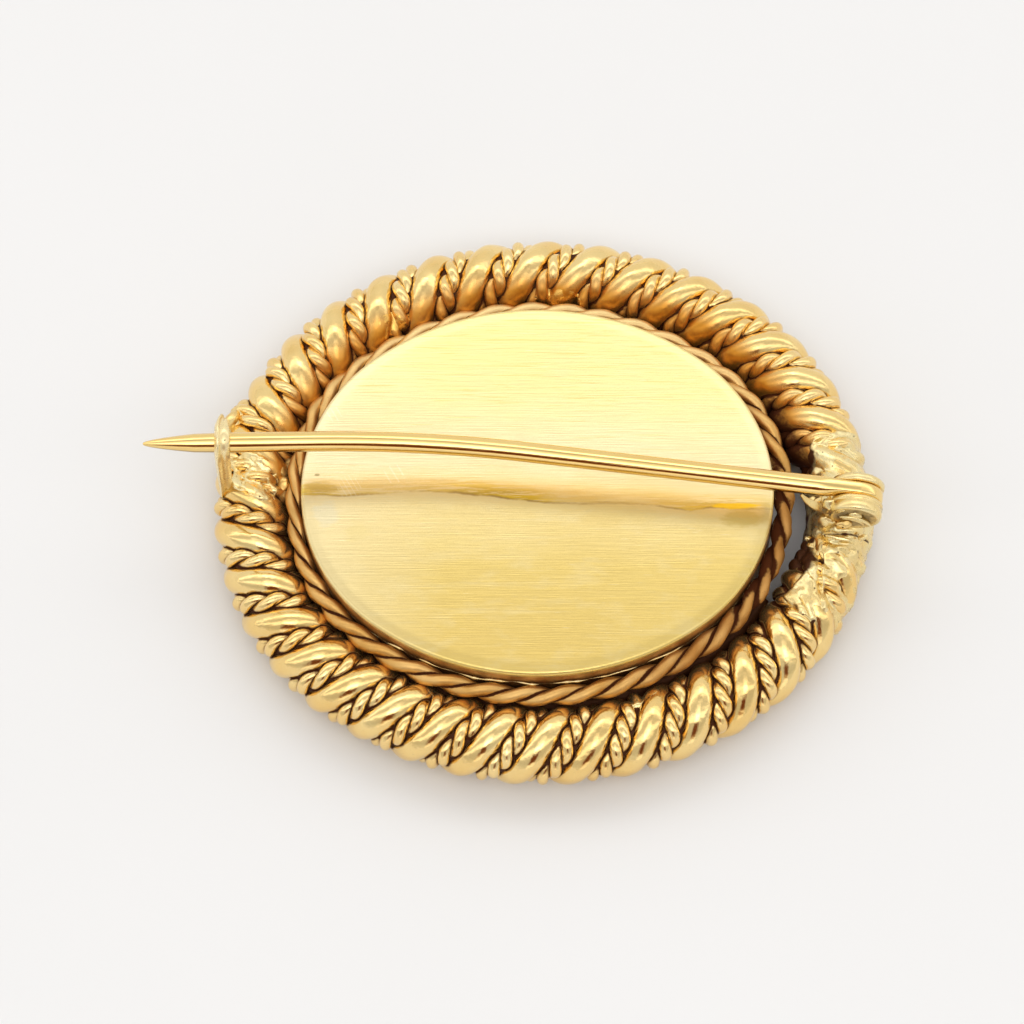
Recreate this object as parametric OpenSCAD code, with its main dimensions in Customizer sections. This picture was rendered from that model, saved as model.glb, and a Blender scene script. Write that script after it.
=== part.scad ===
// Oval garnet brooch, lying face down with its back up. Millimetres.
// A closed box setting holds the stone inside a twisted border and a thick rope of four strands.
// A pin stem hinged at the right runs across the back into a C-shaped catch at the left.
// The origin is on the surface it lies on, under the middle of its whole length.

/* [Rope frame] */
// Half the length of the rope's centreline, an oval of four arcs
rope_half_length = 16.6; // [16.4:0.1:17]
// Half the width of the rope's centreline
rope_half_width = 14.4; // [14.2:0.1:14.8]
// Radius of the oval's two end arcs
rope_end_radius = 13.3; // [13:0.1:13.6]
// Turns that each strand makes round the rope
rope_turns = 17; // [12:1:17]
// Twist angle of the first strand at the right end
rope_phase = -50; // [-180:5:180]
// Unevenness of the twist, once round the oval, in degrees of twist
twist_wander_once = 22; // [0:1:24]
// Unevenness of the twist, twice round the oval, in degrees of twist
twist_wander_twice = 27; // [0:1:30]
// Radius of a plain wire
plain_wire_radius = 0.67; // [0.5:0.01:0.67]
// Distance of a plain wire's centre from the rope's centreline
plain_wind_radius = 1.56; // [1.5:0.01:1.6]
// Radius over a thin strand, which is two wires twisted together
twisted_strand_radius = 0.4; // [0.3:0.01:0.4]
// Distance of a thin strand's centre from the rope's centreline
twisted_wind_radius = 1.8; // [1.7:0.01:1.82]
// Share by which the rope's inner side is pressed in beside the hinge
rope_squeeze = 0.33; // [0:0.01:0.35]

/* [Box setting] */
// Distance from the rope's centreline in to the outside of the wall
wall_inset = 3.13; // [3.13:0.01:3.3]
// How far the setting sits to the left of the frame's middle
setting_shift = 0.3; // [0:0.05:0.3]
// Height of the back plate's outer face over the rope's centreline
plate_height = 3; // [2.8:0.1:3.2]
// Thickness of the back plate
plate_thickness = 0.5; // [0.4:0.1:0.6]
// Thickness of the wall
wall_thickness = 0.45; // [0.4:0.05:0.45]
// Depth of the bezel's edge below the rope's centreline
bezel_depth = 0.5; // [0.5:0.05:0.6]

/* [Stone] */
// Height of the girdle over the rope's centreline
girdle_height = 0.1; // [0:0.05:0.1]
// Height of the domed front
dome_height = 2.1; // [1.8:0.1:2.1]

/* [Twisted border] */
// Distance from the rope's centreline in to the border's centreline
border_inset = 2.53; // [2.5:0.01:2.53]
// Height of the border over the rope's centreline
border_height = 1.6; // [1.6:0.05:1.8]
// Turns of the border's two wires
border_turns = 20; // [14:1:22]
// Radius of a border wire
border_wire_radius = 0.25; // [0.2:0.01:0.25]
// Distance of a border wire's centre from the border's centreline
border_wind_radius = 0.29; // [0.29:0.01:0.3]

/* [Pin] */
// Radius of the stem
stem_radius = 0.55; // [0.45:0.01:0.56]
// Height of the stem over the rope's centreline at the hinge
stem_height = 5.3; // [5.2:0.1:5.5]
// Place of the tip, left of the frame's middle
tip_reach = 22.6; // [21:0.1:25]
// Length of the tapered tip
tip_taper = 2.8; // [2:0.1:3.5]
// Angle in plan between the stem's right part and the brooch's length
stem_lean = 6.3; // [6:0.1:6.8]
// Angle at which the stem rises from the hinge to the catch
stem_rise = 2; // [1.5:0.1:2.5]
// Angle between the stem's right part and its left part
stem_bend = 8; // [7.5:0.1:8.5]
// Radius of the stem's bend
bend_radius = 90; // [70:1:100]
// Distance from the hinge to the corner of the bend
bend_reach = 24.9; // [24:0.1:25.5]
// Length over which the stem is flattened beside the eye
flat_length = 2.4; // [2.2:0.1:3]

/* [Hinge] */
// Place of the hinge's axis, right of the frame's middle
hinge_x = 17.8; // [17.7:0.05:18]
// Place of the eye's middle along the width
hinge_y = -0.97; // [-1.2:0.01:-0.9]
// Outer radius of the knuckles and the eye
knuckle_radius = 1.5; // [1.4:0.05:1.55]
// Drop from the stem's centreline to the hinge's axis
hinge_drop = 0.9; // [0.85:0.01:0.92]
// Radius of the rivet
rivet_radius = 0.45; // [0.35:0.01:0.45]
// Width of the eye
eye_width = 0.8; // [0.7:0.05:0.9]
// Width of the knuckle above the stem in plan
upper_knuckle = 0.45; // [0.35:0.05:0.6]
// Width of the knuckle below the stem in plan
lower_knuckle = 0.75; // [0.6:0.05:0.9]
// Gap between the eye and each knuckle
knuckle_gap = 0.06; // [0.04:0.01:0.08]

/* [Catch] */
// Place of the strip's middle, left of the frame's middle
catch_reach = 18.1; // [18:0.01:18.4]
// Width of the strip
strip_width = 0.85; // [0.7:0.05:1]
// Thickness of the strip
strip_thickness = 0.42; // [0.35:0.01:0.45]
// Inner radius of the hook
hook_radius = 0.85; // [0.8:0.01:0.95]
// Distance of the hook's centre beyond the stem's centre
hook_offset = 0.15; // [0.1:0.01:0.2]
// Angle at which the hook's tip ends below its centre
hook_end = -15; // [-30:1:0]
// Place of the strip's root up the width from the middle
root_y = 0.45; // [0.3:0.05:0.6]
// Thickness of the strip at its root
root_thickness = 0.6; // [0.5:0.05:0.7]

/* [Solder saddles] */
// Thickness of the saddles that carry the hinge and the catch
saddle_thickness = 0.3; // [0.25:0.05:0.35]

/* [Hidden] */

GOLD = "goldenrod";
PALE_GOLD = "khaki";
DARK_GOLD = "darkgoldenrod";
GARNET = "darkred";

rope_radius = plain_wind_radius + plain_wire_radius;
end_centre_x = rope_half_length - rope_end_radius;
side_radius = (pow(rope_half_length, 2) - 2 * rope_half_length * rope_end_radius + pow(rope_half_width, 2))
    / (2 * (rope_half_width - rope_end_radius));
end_half_angle = atan2(side_radius - rope_half_width, end_centre_x);
end_arc = rope_end_radius * end_half_angle * PI / 180;
side_arc = side_radius * (90 - end_half_angle) * PI / 180;
quarter_length = end_arc + side_arc;

// The frame's middle in the part's own frame
frame_middle = [(tip_reach - hinge_x - knuckle_radius) / 2, 0, rope_radius];

// Clearance between neighbouring pieces
piece_gap = 0.1;
saddle_inner = rope_radius + piece_gap;
saddle_outer = saddle_inner + saddle_thickness;
hinge_z = stem_height - hinge_drop;

WIRE_SIDES = 8;
THIN_SIDES = 6;
RINGS_PER_TURN = 12;
THIN_RINGS_PER_TURN = 10;
BORDER_RINGS_PER_TURN = 6;
OVAL_SIDES = 64;
STONE_SIDES = 48;
FINE = 64;

// Angles at which the two waves of the uneven twist start
WANDER_ONCE_START = 148;
WANDER_TWICE_START = -48;

// Ovals parallel to the rope's centreline, by the angle of their outward normal
function on_end_arc(angle) = abs(cos(angle)) >= cos(end_half_angle);
function arc_centre(angle) = on_end_arc(angle)
    ? [sign(cos(angle)) * end_centre_x, 0]
    : [0, sign(sin(angle)) * (rope_half_width - side_radius)];
function oval_point(angle, out) = arc_centre(angle)
    + (out + (on_end_arc(angle) ? rope_end_radius : side_radius)) * [cos(angle), sin(angle)];

// Angle of the outward normal at a share of the way round, anticlockwise from the right end
function quarter_angle(along) = along <= end_arc
    ? along / rope_end_radius * 180 / PI
    : end_half_angle + (along - end_arc) / side_radius * 180 / PI;
function normal_angle(share) =
    let (quarters = 4 * (share - floor(share)),
         index = floor(quarters),
         part = quarters - index,
         angle = quarter_angle((index % 2 == 0 ? part : 1 - part) * quarter_length))
    [angle, 180 - angle, 180 + angle, 360 - angle][index];

// The rope's inner side is flattened where its ends are soldered together beside the hinge
SQUEEZE_MIDDLE = -0.5;
SQUEEZE_FLAT = 3;
SQUEEZE_END = 5;
function squeeze_share(along) =
    let (away = (abs(along - SQUEEZE_MIDDLE) - SQUEEZE_FLAT) / (SQUEEZE_END - SQUEEZE_FLAT),
         fade = max(0, min(1, away)))
    rope_squeeze * (1 - fade * fade * (3 - 2 * fade));
function squeezed(p, amount) =
    let (from_centre = [p.x - end_centre_x, p.y],
         distance = norm(from_centre),
         angle = atan2(from_centre.y, from_centre.x),
         inward = distance - rope_end_radius,
         share = amount * squeeze_share(rope_end_radius * angle * PI / 180),
         pressed = rope_end_radius + inward * (1 - share))
    p.x <= end_centre_x || inward >= 0 ? p
        : [end_centre_x + pressed * cos(angle), pressed * sin(angle), p.z];

// A closed line that winds round an oval line. A winding is
// [distance out, height, shift in x, winding radius, turns, start angle, 1 for the rope or 0 for the border],
// and only the rope has the uneven twist and the pressed-in stretch
function twist_angle(winding, share) = winding[5] + 360 * winding[4] * share
    + winding[6] * (twist_wander_once * sin(360 * share + WANDER_ONCE_START)
                    + twist_wander_twice * sin(720 * share + WANDER_TWICE_START));
function winding_point(winding, share) =
    let (twist = twist_angle(winding, share),
         flat = oval_point(normal_angle(share), winding[0] + winding[3] * cos(twist)))
    [flat.x + winding[2], flat.y, winding[1] + winding[3] * sin(twist)];
function unit(v) = v / norm(v);
function wire_ring(winding, share, step, radius, sides) =
    let (centre = winding_point(winding, share),
         along = unit(winding_point(winding, share + step / 2) - winding_point(winding, share - step / 2)),
         angle = normal_angle(share),
         twist = twist_angle(winding, share),
         raw = [cos(twist) * cos(angle), cos(twist) * sin(angle), sin(twist)],
         outward = unit(raw - (raw * along) * along),
         across = cross(along, outward))
    [for (i = [0 : sides - 1])
        let (turn = 360 * i / sides)
        squeezed(centre + radius * (cos(turn) * outward + sin(turn) * across), winding[6])];

// A closed tube along a winding line
module wound_wire(winding, radius, sides, rings) {
    points = [for (i = [0 : rings - 1]) each wire_ring(winding, i / rings, 1 / rings, radius, sides)];
    faces = [for (i = [0 : rings - 1], j = [0 : sides - 1])
        let (next_ring = (i + 1) % rings,
             next_side = (j + 1) % sides,
             a = i * sides + j,
             b = i * sides + next_side,
             c = next_ring * sides + next_side,
             d = next_ring * sides + j)
        each [[a, c, b], [a, d, c]]];
    polyhedron(points = points, faces = faces, convexity = 10);
}

// A solid of stacked rings of the same count of points, closed at both ends
module ring_stack(ring_points, sides) {
    rings = len(ring_points);
    faces = [
        [for (j = [sides - 1 : -1 : 0]) j],
        for (i = [0 : rings - 2], j = [0 : sides - 1])
            let (next_side = (j + 1) % sides,
                 a = i * sides + j,
                 b = i * sides + next_side,
                 c = (i + 1) * sides + next_side,
                 d = (i + 1) * sides + j)
            each [[a, b, c], [a, c, d]],
        [for (j = [0 : sides - 1]) (rings - 1) * sides + j],
    ];
    polyhedron(points = [for (ring = ring_points) each ring], faces = faces, convexity = 4);
}

// Moves a piece from the frame's middle to its place over the surface
module placed() {
    translate(frame_middle) children();
}

// The rope's outer skin near an end, side 1 for the right and -1 for the left, with some clearance
module rope_skin(side, radius) {
    translate([side * end_centre_x, 0, 0])
        rotate_extrude($fn = FINE)
            translate([rope_end_radius, 0]) circle(r = radius, $fn = FINE);
}

// A curved pad that lies over the rope between two angles round the oval's end
module saddle(side, start, span, low, high) {
    reach = 2 * saddle_outer;
    middle = (low + high) / 2;
    translate([side * end_centre_x, 0, 0])
        rotate([0, 0, start])
            rotate_extrude(angle = span, $fn = FINE)
                translate([rope_end_radius, 0])
                    intersection() {
                        difference() {
                            circle(r = saddle_outer, $fn = FINE);
                            circle(r = saddle_inner, $fn = FINE);
                        }
                        polygon([[0, 0],
                                 reach * [cos(low), sin(low)],
                                 reach * [cos(middle), sin(middle)],
                                 reach * [cos(high), sin(high)]]);
                    }
}

// Rim of the back plate, wall and turned-in bezel, as [inset, height] rows from the back to the front
cup_outside = [[0.32, plate_height], [0.1, plate_height - 0.06], [0, plate_height - 0.25],
               [0, -bezel_depth + 0.15], [0.12, -bezel_depth]];
LIP_INSET = 0.84;
LIP_RISE = 0.35;
cup_inside = [[LIP_INSET, -bezel_depth], [wall_thickness + 0.05, LIP_RISE - bezel_depth],
              [wall_thickness, plate_height - plate_thickness]];

function setting_ring(inset, height, sides) = [for (i = [0 : sides - 1])
    let (flat = oval_point(360 * (i + 0.5) / sides, -wall_inset - inset))
    [flat.x - setting_shift, flat.y, height]];

module back_cup() {
    color(PALE_GOLD) placed()
        ring_stack([for (row = concat(cup_outside, cup_inside)) setting_ring(row[0], row[1], OVAL_SIDES)],
                   OVAL_SIDES);
}

// Domed stone with a flat back, its dome towards the front
STONE_GAP = 0.08;
DOME_ANGLES = [0, 14, 28, 42, 56, 68, 79];
function stone_ring(share, height) = [for (i = [0 : STONE_SIDES - 1])
    let (flat = share * oval_point(360 * (i + 0.5) / STONE_SIDES, -wall_inset - wall_thickness - STONE_GAP))
    [flat.x - setting_shift, flat.y, height]];

module garnet() {
    back = plate_height - plate_thickness - piece_gap;
    color(GARNET) placed()
        ring_stack(concat([stone_ring(1, back)],
                          [for (angle = DOME_ANGLES)
                              stone_ring(cos(angle), girdle_height - dome_height * sin(angle))],
                          [stone_ring(cos(88), girdle_height - dome_height)]),
                   STONE_SIDES);
}

module border_wire(start) {
    winding = [-border_inset, border_height, -setting_shift, border_wind_radius, border_turns, start, 0];
    color(DARK_GOLD) placed()
        wound_wire(winding, border_wire_radius, THIN_SIDES, border_turns * BORDER_RINGS_PER_TURN);
}

module plain_strand(start) {
    winding = [0, 0, 0, plain_wind_radius, rope_turns, rope_phase + start, 1];
    color(GOLD) placed()
        wound_wire(winding, plain_wire_radius, WIRE_SIDES, rope_turns * RINGS_PER_TURN);
}

module twisted_strand(start) {
    winding = [0, 0, 0, twisted_wind_radius, rope_turns, rope_phase + start, 1];
    color(DARK_GOLD) placed()
        wound_wire(winding, twisted_strand_radius, THIN_SIDES, rope_turns * THIN_RINGS_PER_TURN);
}

// The hinge's own frame: x along the stem, y along the hinge's axis from the eye's middle, z up
module at_hinge() {
    translate([hinge_x, hinge_y, hinge_z]) rotate([0, 0, -stem_lean]) children();
}

// Draws out what is drawn along the stem and up, from y = start to y = start + width
module across(start, width) {
    translate([0, start + width, 0]) rotate([90, 0, 0]) linear_extrude(height = width) children();
}

RIVET_FIT = 0.02;
RIVET_RUNNING_FIT = 0.05;
RIVET_PROUD = 0.08;

// A knuckle and the web that carries it down to the saddle
module knuckle_outline() {
    circle(r = knuckle_radius, $fn = FINE);
    polygon([[-1.3, -0.6], [1.25, -0.75], [0.85, -2.8], [-1.35, -3.2], [-2.6, -2.4]]);
}

module hinge_lugs() {
    inner = eye_width / 2 + knuckle_gap;
    color(PALE_GOLD) placed()
        difference() {
            union() {
                saddle(1, -13, 19, 20, 118);
                at_hinge() across(inner, upper_knuckle) knuckle_outline();
                at_hinge() across(-inner - lower_knuckle, lower_knuckle) knuckle_outline();
            }
            rope_skin(1, saddle_inner);
            at_hinge() across(-5, 10) circle(r = rivet_radius + RIVET_FIT, $fn = FINE);
        }
}

module hinge_rivet() {
    inner = eye_width / 2 + knuckle_gap;
    color(GOLD) placed() at_hinge()
        across(-inner - lower_knuckle - RIVET_PROUD, 2 * (inner + RIVET_PROUD) + upper_knuckle + lower_knuckle)
            circle(r = rivet_radius, $fn = FINE);
}

// A point on the line of the stem's left part, by its distance beyond the bend's corner
function stem_point(beyond) =
    let (x = -bend_reach - beyond * cos(stem_bend),
         y = -beyond * sin(stem_bend),
         level = x * cos(stem_rise) + hinge_drop * sin(stem_rise),
         up = -x * sin(stem_rise) + hinge_drop * cos(stem_rise))
    [hinge_x + level * cos(stem_lean) + y * sin(stem_lean),
     hinge_y - level * sin(stem_lean) + y * cos(stem_lean),
     hinge_z + up];
function beyond_corner(x) = (x - stem_point(0).x) / (stem_point(1).x - stem_point(0).x);
tip_beyond = beyond_corner(-tip_reach);
catch_beyond = beyond_corner(-catch_reach);
catch_point = stem_point(catch_beyond);

// The strip in its own plane, across the brooch and up
module catch_outline() {
    outer = hook_radius + strip_thickness;
    middle = hook_radius + strip_thickness / 2;
    hook_y = catch_point.y + hook_offset;
    translate([hook_y, catch_point.z]) {
        difference() {
            circle(r = outer, $fn = FINE);
            circle(r = hook_radius, $fn = FINE);
            polygon([[0, 0], 3 * [cos(hook_end), sin(hook_end)], [3, -3], [-3, -3], [-3, 0]]);
        }
        translate(middle * [cos(hook_end), sin(hook_end)]) circle(r = strip_thickness / 2, $fn = FINE);
    }
    polygon([[hook_y - outer, catch_point.z], [hook_y - hook_radius, catch_point.z],
             [root_y + root_thickness, 1.1], [root_y, 1.1]]);
}

module catch() {
    color(PALE_GOLD) placed()
        difference() {
            union() {
                saddle(-1, 169.5, 11.5, 30, 115);
                translate([-catch_reach - strip_width / 2, 0, 0])
                    rotate([90, 0, 90])
                        linear_extrude(height = strip_width) catch_outline();
            }
            rope_skin(-1, saddle_inner);
        }
}

// The pin's parts, in the hinge's own frame turned up by the stem's rise.
// The bend is a hair thicker than the straight parts, whose ends it takes in.
BEND_PROUD = 0.01;
BEND_OVERLAP = 0.3;
bend_tangent = bend_radius * tan(stem_bend / 2);

// The straight part at the catch, a little thinner from there on, with the tapered tip
THIN_SHARE = 0.92;
PAST_STRIP = 0.35;
module stem_left() {
    length = tip_beyond - bend_tangent + BEND_OVERLAP;
    full_from = tip_beyond - catch_beyond + strip_width / 2 + PAST_STRIP;
    translate([-bend_reach, 0, hinge_drop])
        rotate([0, 0, stem_bend])
            translate([-tip_beyond, 0, 0])
                rotate([0, 90, 0])
                    rotate_extrude($fn = FINE)
                        polygon([[0, 0], [0.07, 0], [0.24, tip_taper * 0.2], [0.42, tip_taper * 0.6],
                                 [THIN_SHARE * stem_radius, tip_taper], [stem_radius, full_from],
                                 [stem_radius, length], [0, length]]);
}

module stem_middle() {
    translate([bend_tangent - bend_reach, -bend_radius, hinge_drop])
        rotate([0, 0, 90])
            rotate_extrude(angle = stem_bend, $fn = FINE)
                translate([bend_radius, 0]) circle(r = stem_radius + BEND_PROUD, $fn = FINE);
}

// The straight part up to the flattened end, then the flattened end with its eye
module stem_right() {
    start = bend_tangent - bend_reach - BEND_OVERLAP;
    round_end = flat_length - 0.3;
    translate([start, 0, hinge_drop])
        rotate([0, 90, 0])
            cylinder(h = -round_end - start, r = stem_radius, $fn = FINE);
}

module stem_eye() {
    across(-eye_width / 2, eye_width) {
        difference() {
            union() {
                circle(r = knuckle_radius, $fn = FINE);
                translate([-flat_length, hinge_drop - stem_radius + 0.08])
                    square([flat_length, 2 * stem_radius - 0.16]);
            }
            circle(r = rivet_radius + RIVET_RUNNING_FIT, $fn = FINE);
        }
    }
}

module pin() {
    color(GOLD) placed() at_hinge()
        rotate([0, stem_rise, 0]) {
            stem_left();
            stem_middle();
            stem_right();
            stem_eye();
        }
}

back_cup();
garnet();
border_wire(0);  // border_wire_1
border_wire(180);  // border_wire_2
plain_strand(0);  // plain_strand_1
plain_strand(180);  // plain_strand_2
twisted_strand(90);  // twisted_strand_1
twisted_strand(270);  // twisted_strand_2
hinge_lugs();
hinge_rivet();
catch();
pin();
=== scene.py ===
"""Oval garnet brooch lying face down with its back up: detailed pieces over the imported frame."""
import math

import bmesh
import bpy
import numpy as np
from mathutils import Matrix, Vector, noise
from mathutils.bvhtree import BVHTree
from mathutils.kdtree import KDTree

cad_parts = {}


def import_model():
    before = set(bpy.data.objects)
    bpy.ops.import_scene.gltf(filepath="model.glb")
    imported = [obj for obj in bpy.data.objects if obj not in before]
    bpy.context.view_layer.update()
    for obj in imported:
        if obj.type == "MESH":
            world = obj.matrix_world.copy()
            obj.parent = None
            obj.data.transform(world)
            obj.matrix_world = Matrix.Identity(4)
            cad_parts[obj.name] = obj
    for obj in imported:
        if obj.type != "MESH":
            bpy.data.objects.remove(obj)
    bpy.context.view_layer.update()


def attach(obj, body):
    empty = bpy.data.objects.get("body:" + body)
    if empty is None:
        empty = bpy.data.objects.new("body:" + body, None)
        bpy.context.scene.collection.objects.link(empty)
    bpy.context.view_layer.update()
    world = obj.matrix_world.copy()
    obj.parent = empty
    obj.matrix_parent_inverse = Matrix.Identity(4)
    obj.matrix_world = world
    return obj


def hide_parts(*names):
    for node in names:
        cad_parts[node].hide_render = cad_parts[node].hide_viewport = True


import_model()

# Driving values, in millimetres and degrees, as in the part's source
MM = 0.001
FRAME_MIDDLE = np.array([1.65, 0.0, 2.23])
ROPE_HALF_LENGTH, ROPE_HALF_WIDTH, ROPE_END_RADIUS = 16.6, 14.4, 13.3
ROPE_RADIUS = 2.23
ROPE_TURNS, ROPE_PHASE = 17, -50.0
WANDER_ONCE, WANDER_ONCE_START = 22.0, 148.0
WANDER_TWICE, WANDER_TWICE_START = 27.0, -48.0
PLAIN_WIND, PLAIN_RADIUS = 1.42, 0.83
TWISTED_WIND = 1.62
THIN_WIRE_RADIUS, THIN_WIRE_WIND, THIN_TWISTS = 0.34, 0.275, 76
BORDER_INSET, BORDER_HEIGHT, BORDER_TURNS = 2.53, 1.6, 20
BORDER_WIRE, BORDER_WIND = 0.355, 0.25
SETTING_SHIFT = 0.3
WALL_INSET, PLATE_HEIGHT, BEZEL_DEPTH = 3.13, 3.0, 0.5
SQUEEZE, SQUEEZE_MIDDLE, SQUEEZE_FLAT, SQUEEZE_END = 0.33, -0.5, 3.0, 5.0
STEM_RADIUS, STEM_LEAN, STEM_RISE = 0.575, 6.3, 2.0
STEM_BEND, BEND_RADIUS, BEND_REACH = 8.0, 90.0, 24.9
TIP_REACH, CATCH_REACH = 22.6, 18.1
HINGE = np.array([17.8, -0.97, 4.4])
HINGE_DROP, KNUCKLE_RADIUS, EYE_WIDTH = 0.9, 1.5, 0.8
KNUCKLE_GAP, UPPER_KNUCKLE = 0.06, 0.45
RIVET_RADIUS = 0.45
HOOK_RADIUS, STRIP_THICKNESS, STRIP_WIDTH, HOOK_OFFSET, HOOK_END = 0.85, 0.42, 0.85, 0.15, -15.0
ROOT_Y, ROOT_THICKNESS = 0.45, 0.6

END_CENTRE_X = ROPE_HALF_LENGTH - ROPE_END_RADIUS
SIDE_RADIUS = ((ROPE_HALF_LENGTH ** 2 - 2 * ROPE_HALF_LENGTH * ROPE_END_RADIUS + ROPE_HALF_WIDTH ** 2)
               / (2 * (ROPE_HALF_WIDTH - ROPE_END_RADIUS)))
END_HALF_ANGLE = math.degrees(math.atan2(SIDE_RADIUS - ROPE_HALF_WIDTH, END_CENTRE_X))
END_ARC = ROPE_END_RADIUS * math.radians(END_HALF_ANGLE)
QUARTER = END_ARC + SIDE_RADIUS * math.radians(90 - END_HALF_ANGLE)
ROPE_LENGTH = 4 * QUARTER


def cosd(angle):
    return np.cos(np.radians(angle))


def sind(angle):
    return np.sin(np.radians(angle))


def unit(v):
    return v / np.linalg.norm(v, axis=-1, keepdims=True)


def smooth(low, high, value):
    """A soft step, 0 at low and 1 at high."""
    share = np.clip((value - low) / (high - low), 0, 1)
    return share * share * (3 - 2 * share)


def axes(points):
    """The points' coordinates, each as an array of its own."""
    return np.moveaxis(points, -1, 0)


def stack(*coordinates):
    """Points made of their coordinates."""
    return np.stack(np.broadcast_arrays(*coordinates), -1)


def shares(count):
    """Even shares of a closed round, from 0 up to just below 1."""
    return np.arange(count) / count


# Ovals parallel to the rope's centreline
def oval_point(angle, out):
    """Points where the oval, moved outward by out, faces the angle."""
    c, s = cosd(angle), sind(angle)
    on_end = np.abs(c) >= math.cos(math.radians(END_HALF_ANGLE))
    centre_x = np.where(on_end, np.sign(c) * END_CENTRE_X, 0)
    centre_y = np.where(on_end, 0, np.sign(s) * (ROPE_HALF_WIDTH - SIDE_RADIUS))
    radius = out + np.where(on_end, ROPE_END_RADIUS, SIDE_RADIUS)
    return stack(centre_x + radius * c, centre_y + radius * s)


def normal_angle(share):
    """The angle that the rope's centreline faces at a share of its length."""
    quarters = 4 * (share - np.floor(share))
    index = np.minimum(np.floor(quarters).astype(int), 3)
    part = quarters - index
    along = np.where(index % 2 == 0, part, 1 - part) * QUARTER
    angle = np.where(along <= END_ARC, np.degrees(along / ROPE_END_RADIUS),
                     END_HALF_ANGLE + np.degrees((along - END_ARC) / SIDE_RADIUS))
    return np.choose(index, [angle, 180 - angle, 180 + angle, 360 - angle])


def squeezed(points):
    """The rope with its inner side flattened beside the hinge, where its ends are soldered together."""
    flat = points[..., :2] - [END_CENTRE_X, 0]
    distance = np.linalg.norm(flat, axis=-1)
    angle = np.arctan2(flat[..., 1], flat[..., 0])
    inward = distance - ROPE_END_RADIUS
    away = (np.abs(ROPE_END_RADIUS * angle - SQUEEZE_MIDDLE) - SQUEEZE_FLAT) / (SQUEEZE_END - SQUEEZE_FLAT)
    pressed = ROPE_END_RADIUS + inward * (1 - SQUEEZE * (1 - smooth(0, 1, away)))
    moved = stack(END_CENTRE_X + pressed * np.cos(angle), pressed * np.sin(angle), points[..., 2])
    keep = (points[..., 0] <= END_CENTRE_X) | (inward >= 0)
    return np.where(keep[..., None], points, moved)


def bump_at(points, x, y, size):
    """A round mound's share at the points, 1 in its middle."""
    return np.exp(-((points[..., 0] - x) ** 2 + (points[..., 1] - y) ** 2) / size ** 2)


def bumped(points):
    """The rope as it lies: pressed flat beside the hinge and pushed out a little above the catch."""
    pushed = bump_at(points, -17.7, 5.0, math.sqrt(2.2))
    return squeezed(points) + pushed[..., None] * np.array([-0.42, 0.22, 0.0])


def rope_twist(start, share):
    return (ROPE_PHASE + start + 360 * ROPE_TURNS * share
            + WANDER_ONCE * sind(360 * share + WANDER_ONCE_START)
            + WANDER_TWICE * sind(720 * share + WANDER_TWICE_START))


def wound_line(share, twist, wind, out=0.0, height=0.0, shift=0.0):
    """A line wound round an oval line, and the direction from the oval line to it."""
    angle = normal_angle(share)
    x, y = axes(oval_point(angle, out + wind * cosd(twist)))
    away = stack(cosd(twist) * cosd(angle), cosd(twist) * sind(angle), sind(twist))
    return stack(x + shift, y, height + wind * sind(twist)), away


def wobble(count, waves, seed, size):
    """An uneven line round a closed loop, of the given number of waves at most."""
    rng = np.random.default_rng(seed)
    t = shares(count) * 2 * math.pi
    line = np.zeros(count)
    for k in range(1, waves + 1):
        line += rng.normal() * np.cos(k * t + rng.uniform(0, 2 * math.pi))
    return size * line / math.sqrt(waves)


def field(points, scale, seed):
    """Smooth noise at the points, from about -1 to 1."""
    shift = Vector((seed * 7.3, seed * 3.1, seed * 5.7))
    values = [noise.noise(Vector(p) * scale + shift) for p in points.reshape(-1, 3)]
    return np.array(values).reshape(points.shape[:-1])


def uneven(points, size, scale, seed, direction=1.0):
    """The points moved by smooth noise, in one direction for each or along all three axes."""
    return points + (size * field(points, scale, seed))[..., None] * direction


# Tubes, sheets and the mesh pieces made of them
def frames(path, hint, closed):
    """Directions along a path, towards the hint and across both."""
    if closed:
        along = np.roll(path, -1, 0) - np.roll(path, 1, 0)
    else:
        along = np.gradient(path, axis=0)
    along = unit(along)
    outward = unit(hint - (hint * along).sum(-1, keepdims=True) * along)
    return along, outward, np.cross(along, outward)


def sweep(path, hint, section, closed=False):
    """Rings of points round a path. section is (rings or 1, sides, 2): along the hint, and across it."""
    _, outward, across = frames(path, hint, closed)
    section = np.broadcast_to(section, (len(path),) + section.shape[-2:])
    return path[:, None] + section[..., :1] * outward[:, None] + section[..., 1:] * across[:, None]


def circle(sides):
    turn = shares(sides) * 2 * math.pi
    return stack(np.cos(turn), np.sin(turn))


def tube(path, hint, radius, sides, closed=True):
    """A round tube of one radius, or of one for each ring."""
    return sweep(path, hint, circle(sides) * np.reshape(radius, (-1, 1, 1)), closed)


def flow_round(length, sides):
    """Coordinates along and round a tube, which its fine lines follow."""
    return stack(length[:, None], *axes(circle(sides)))


def closed_flow(path, sides):
    return flow_round(np.arange(len(path)) * np.linalg.norm(path[1] - path[0]), sides)


def grid_faces(rings, sides, closed_rings=True, closed_sides=True):
    i = np.arange(rings if closed_rings else rings - 1)
    j = np.arange(sides if closed_sides else sides - 1)
    i, j = np.meshgrid(i, j, indexing="ij")
    i2, j2 = (i + 1) % rings, (j + 1) % sides
    faces = np.stack([i * sides + j, i2 * sides + j, i2 * sides + j2, i * sides + j2], -1)
    return faces.reshape(-1, 4).tolist()


def lidded_faces(rings, sides):
    """Faces of an open tube with a lid on its last ring."""
    return grid_faces(rings, sides, False) + [list(range((rings - 1) * sides, rings * sides))]


def capped_faces(rings, sides):
    faces = grid_faces(rings, sides, False)
    return faces + [list(range(sides)), list(range(rings * sides - 1, (rings - 1) * sides - 1, -1))]


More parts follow.
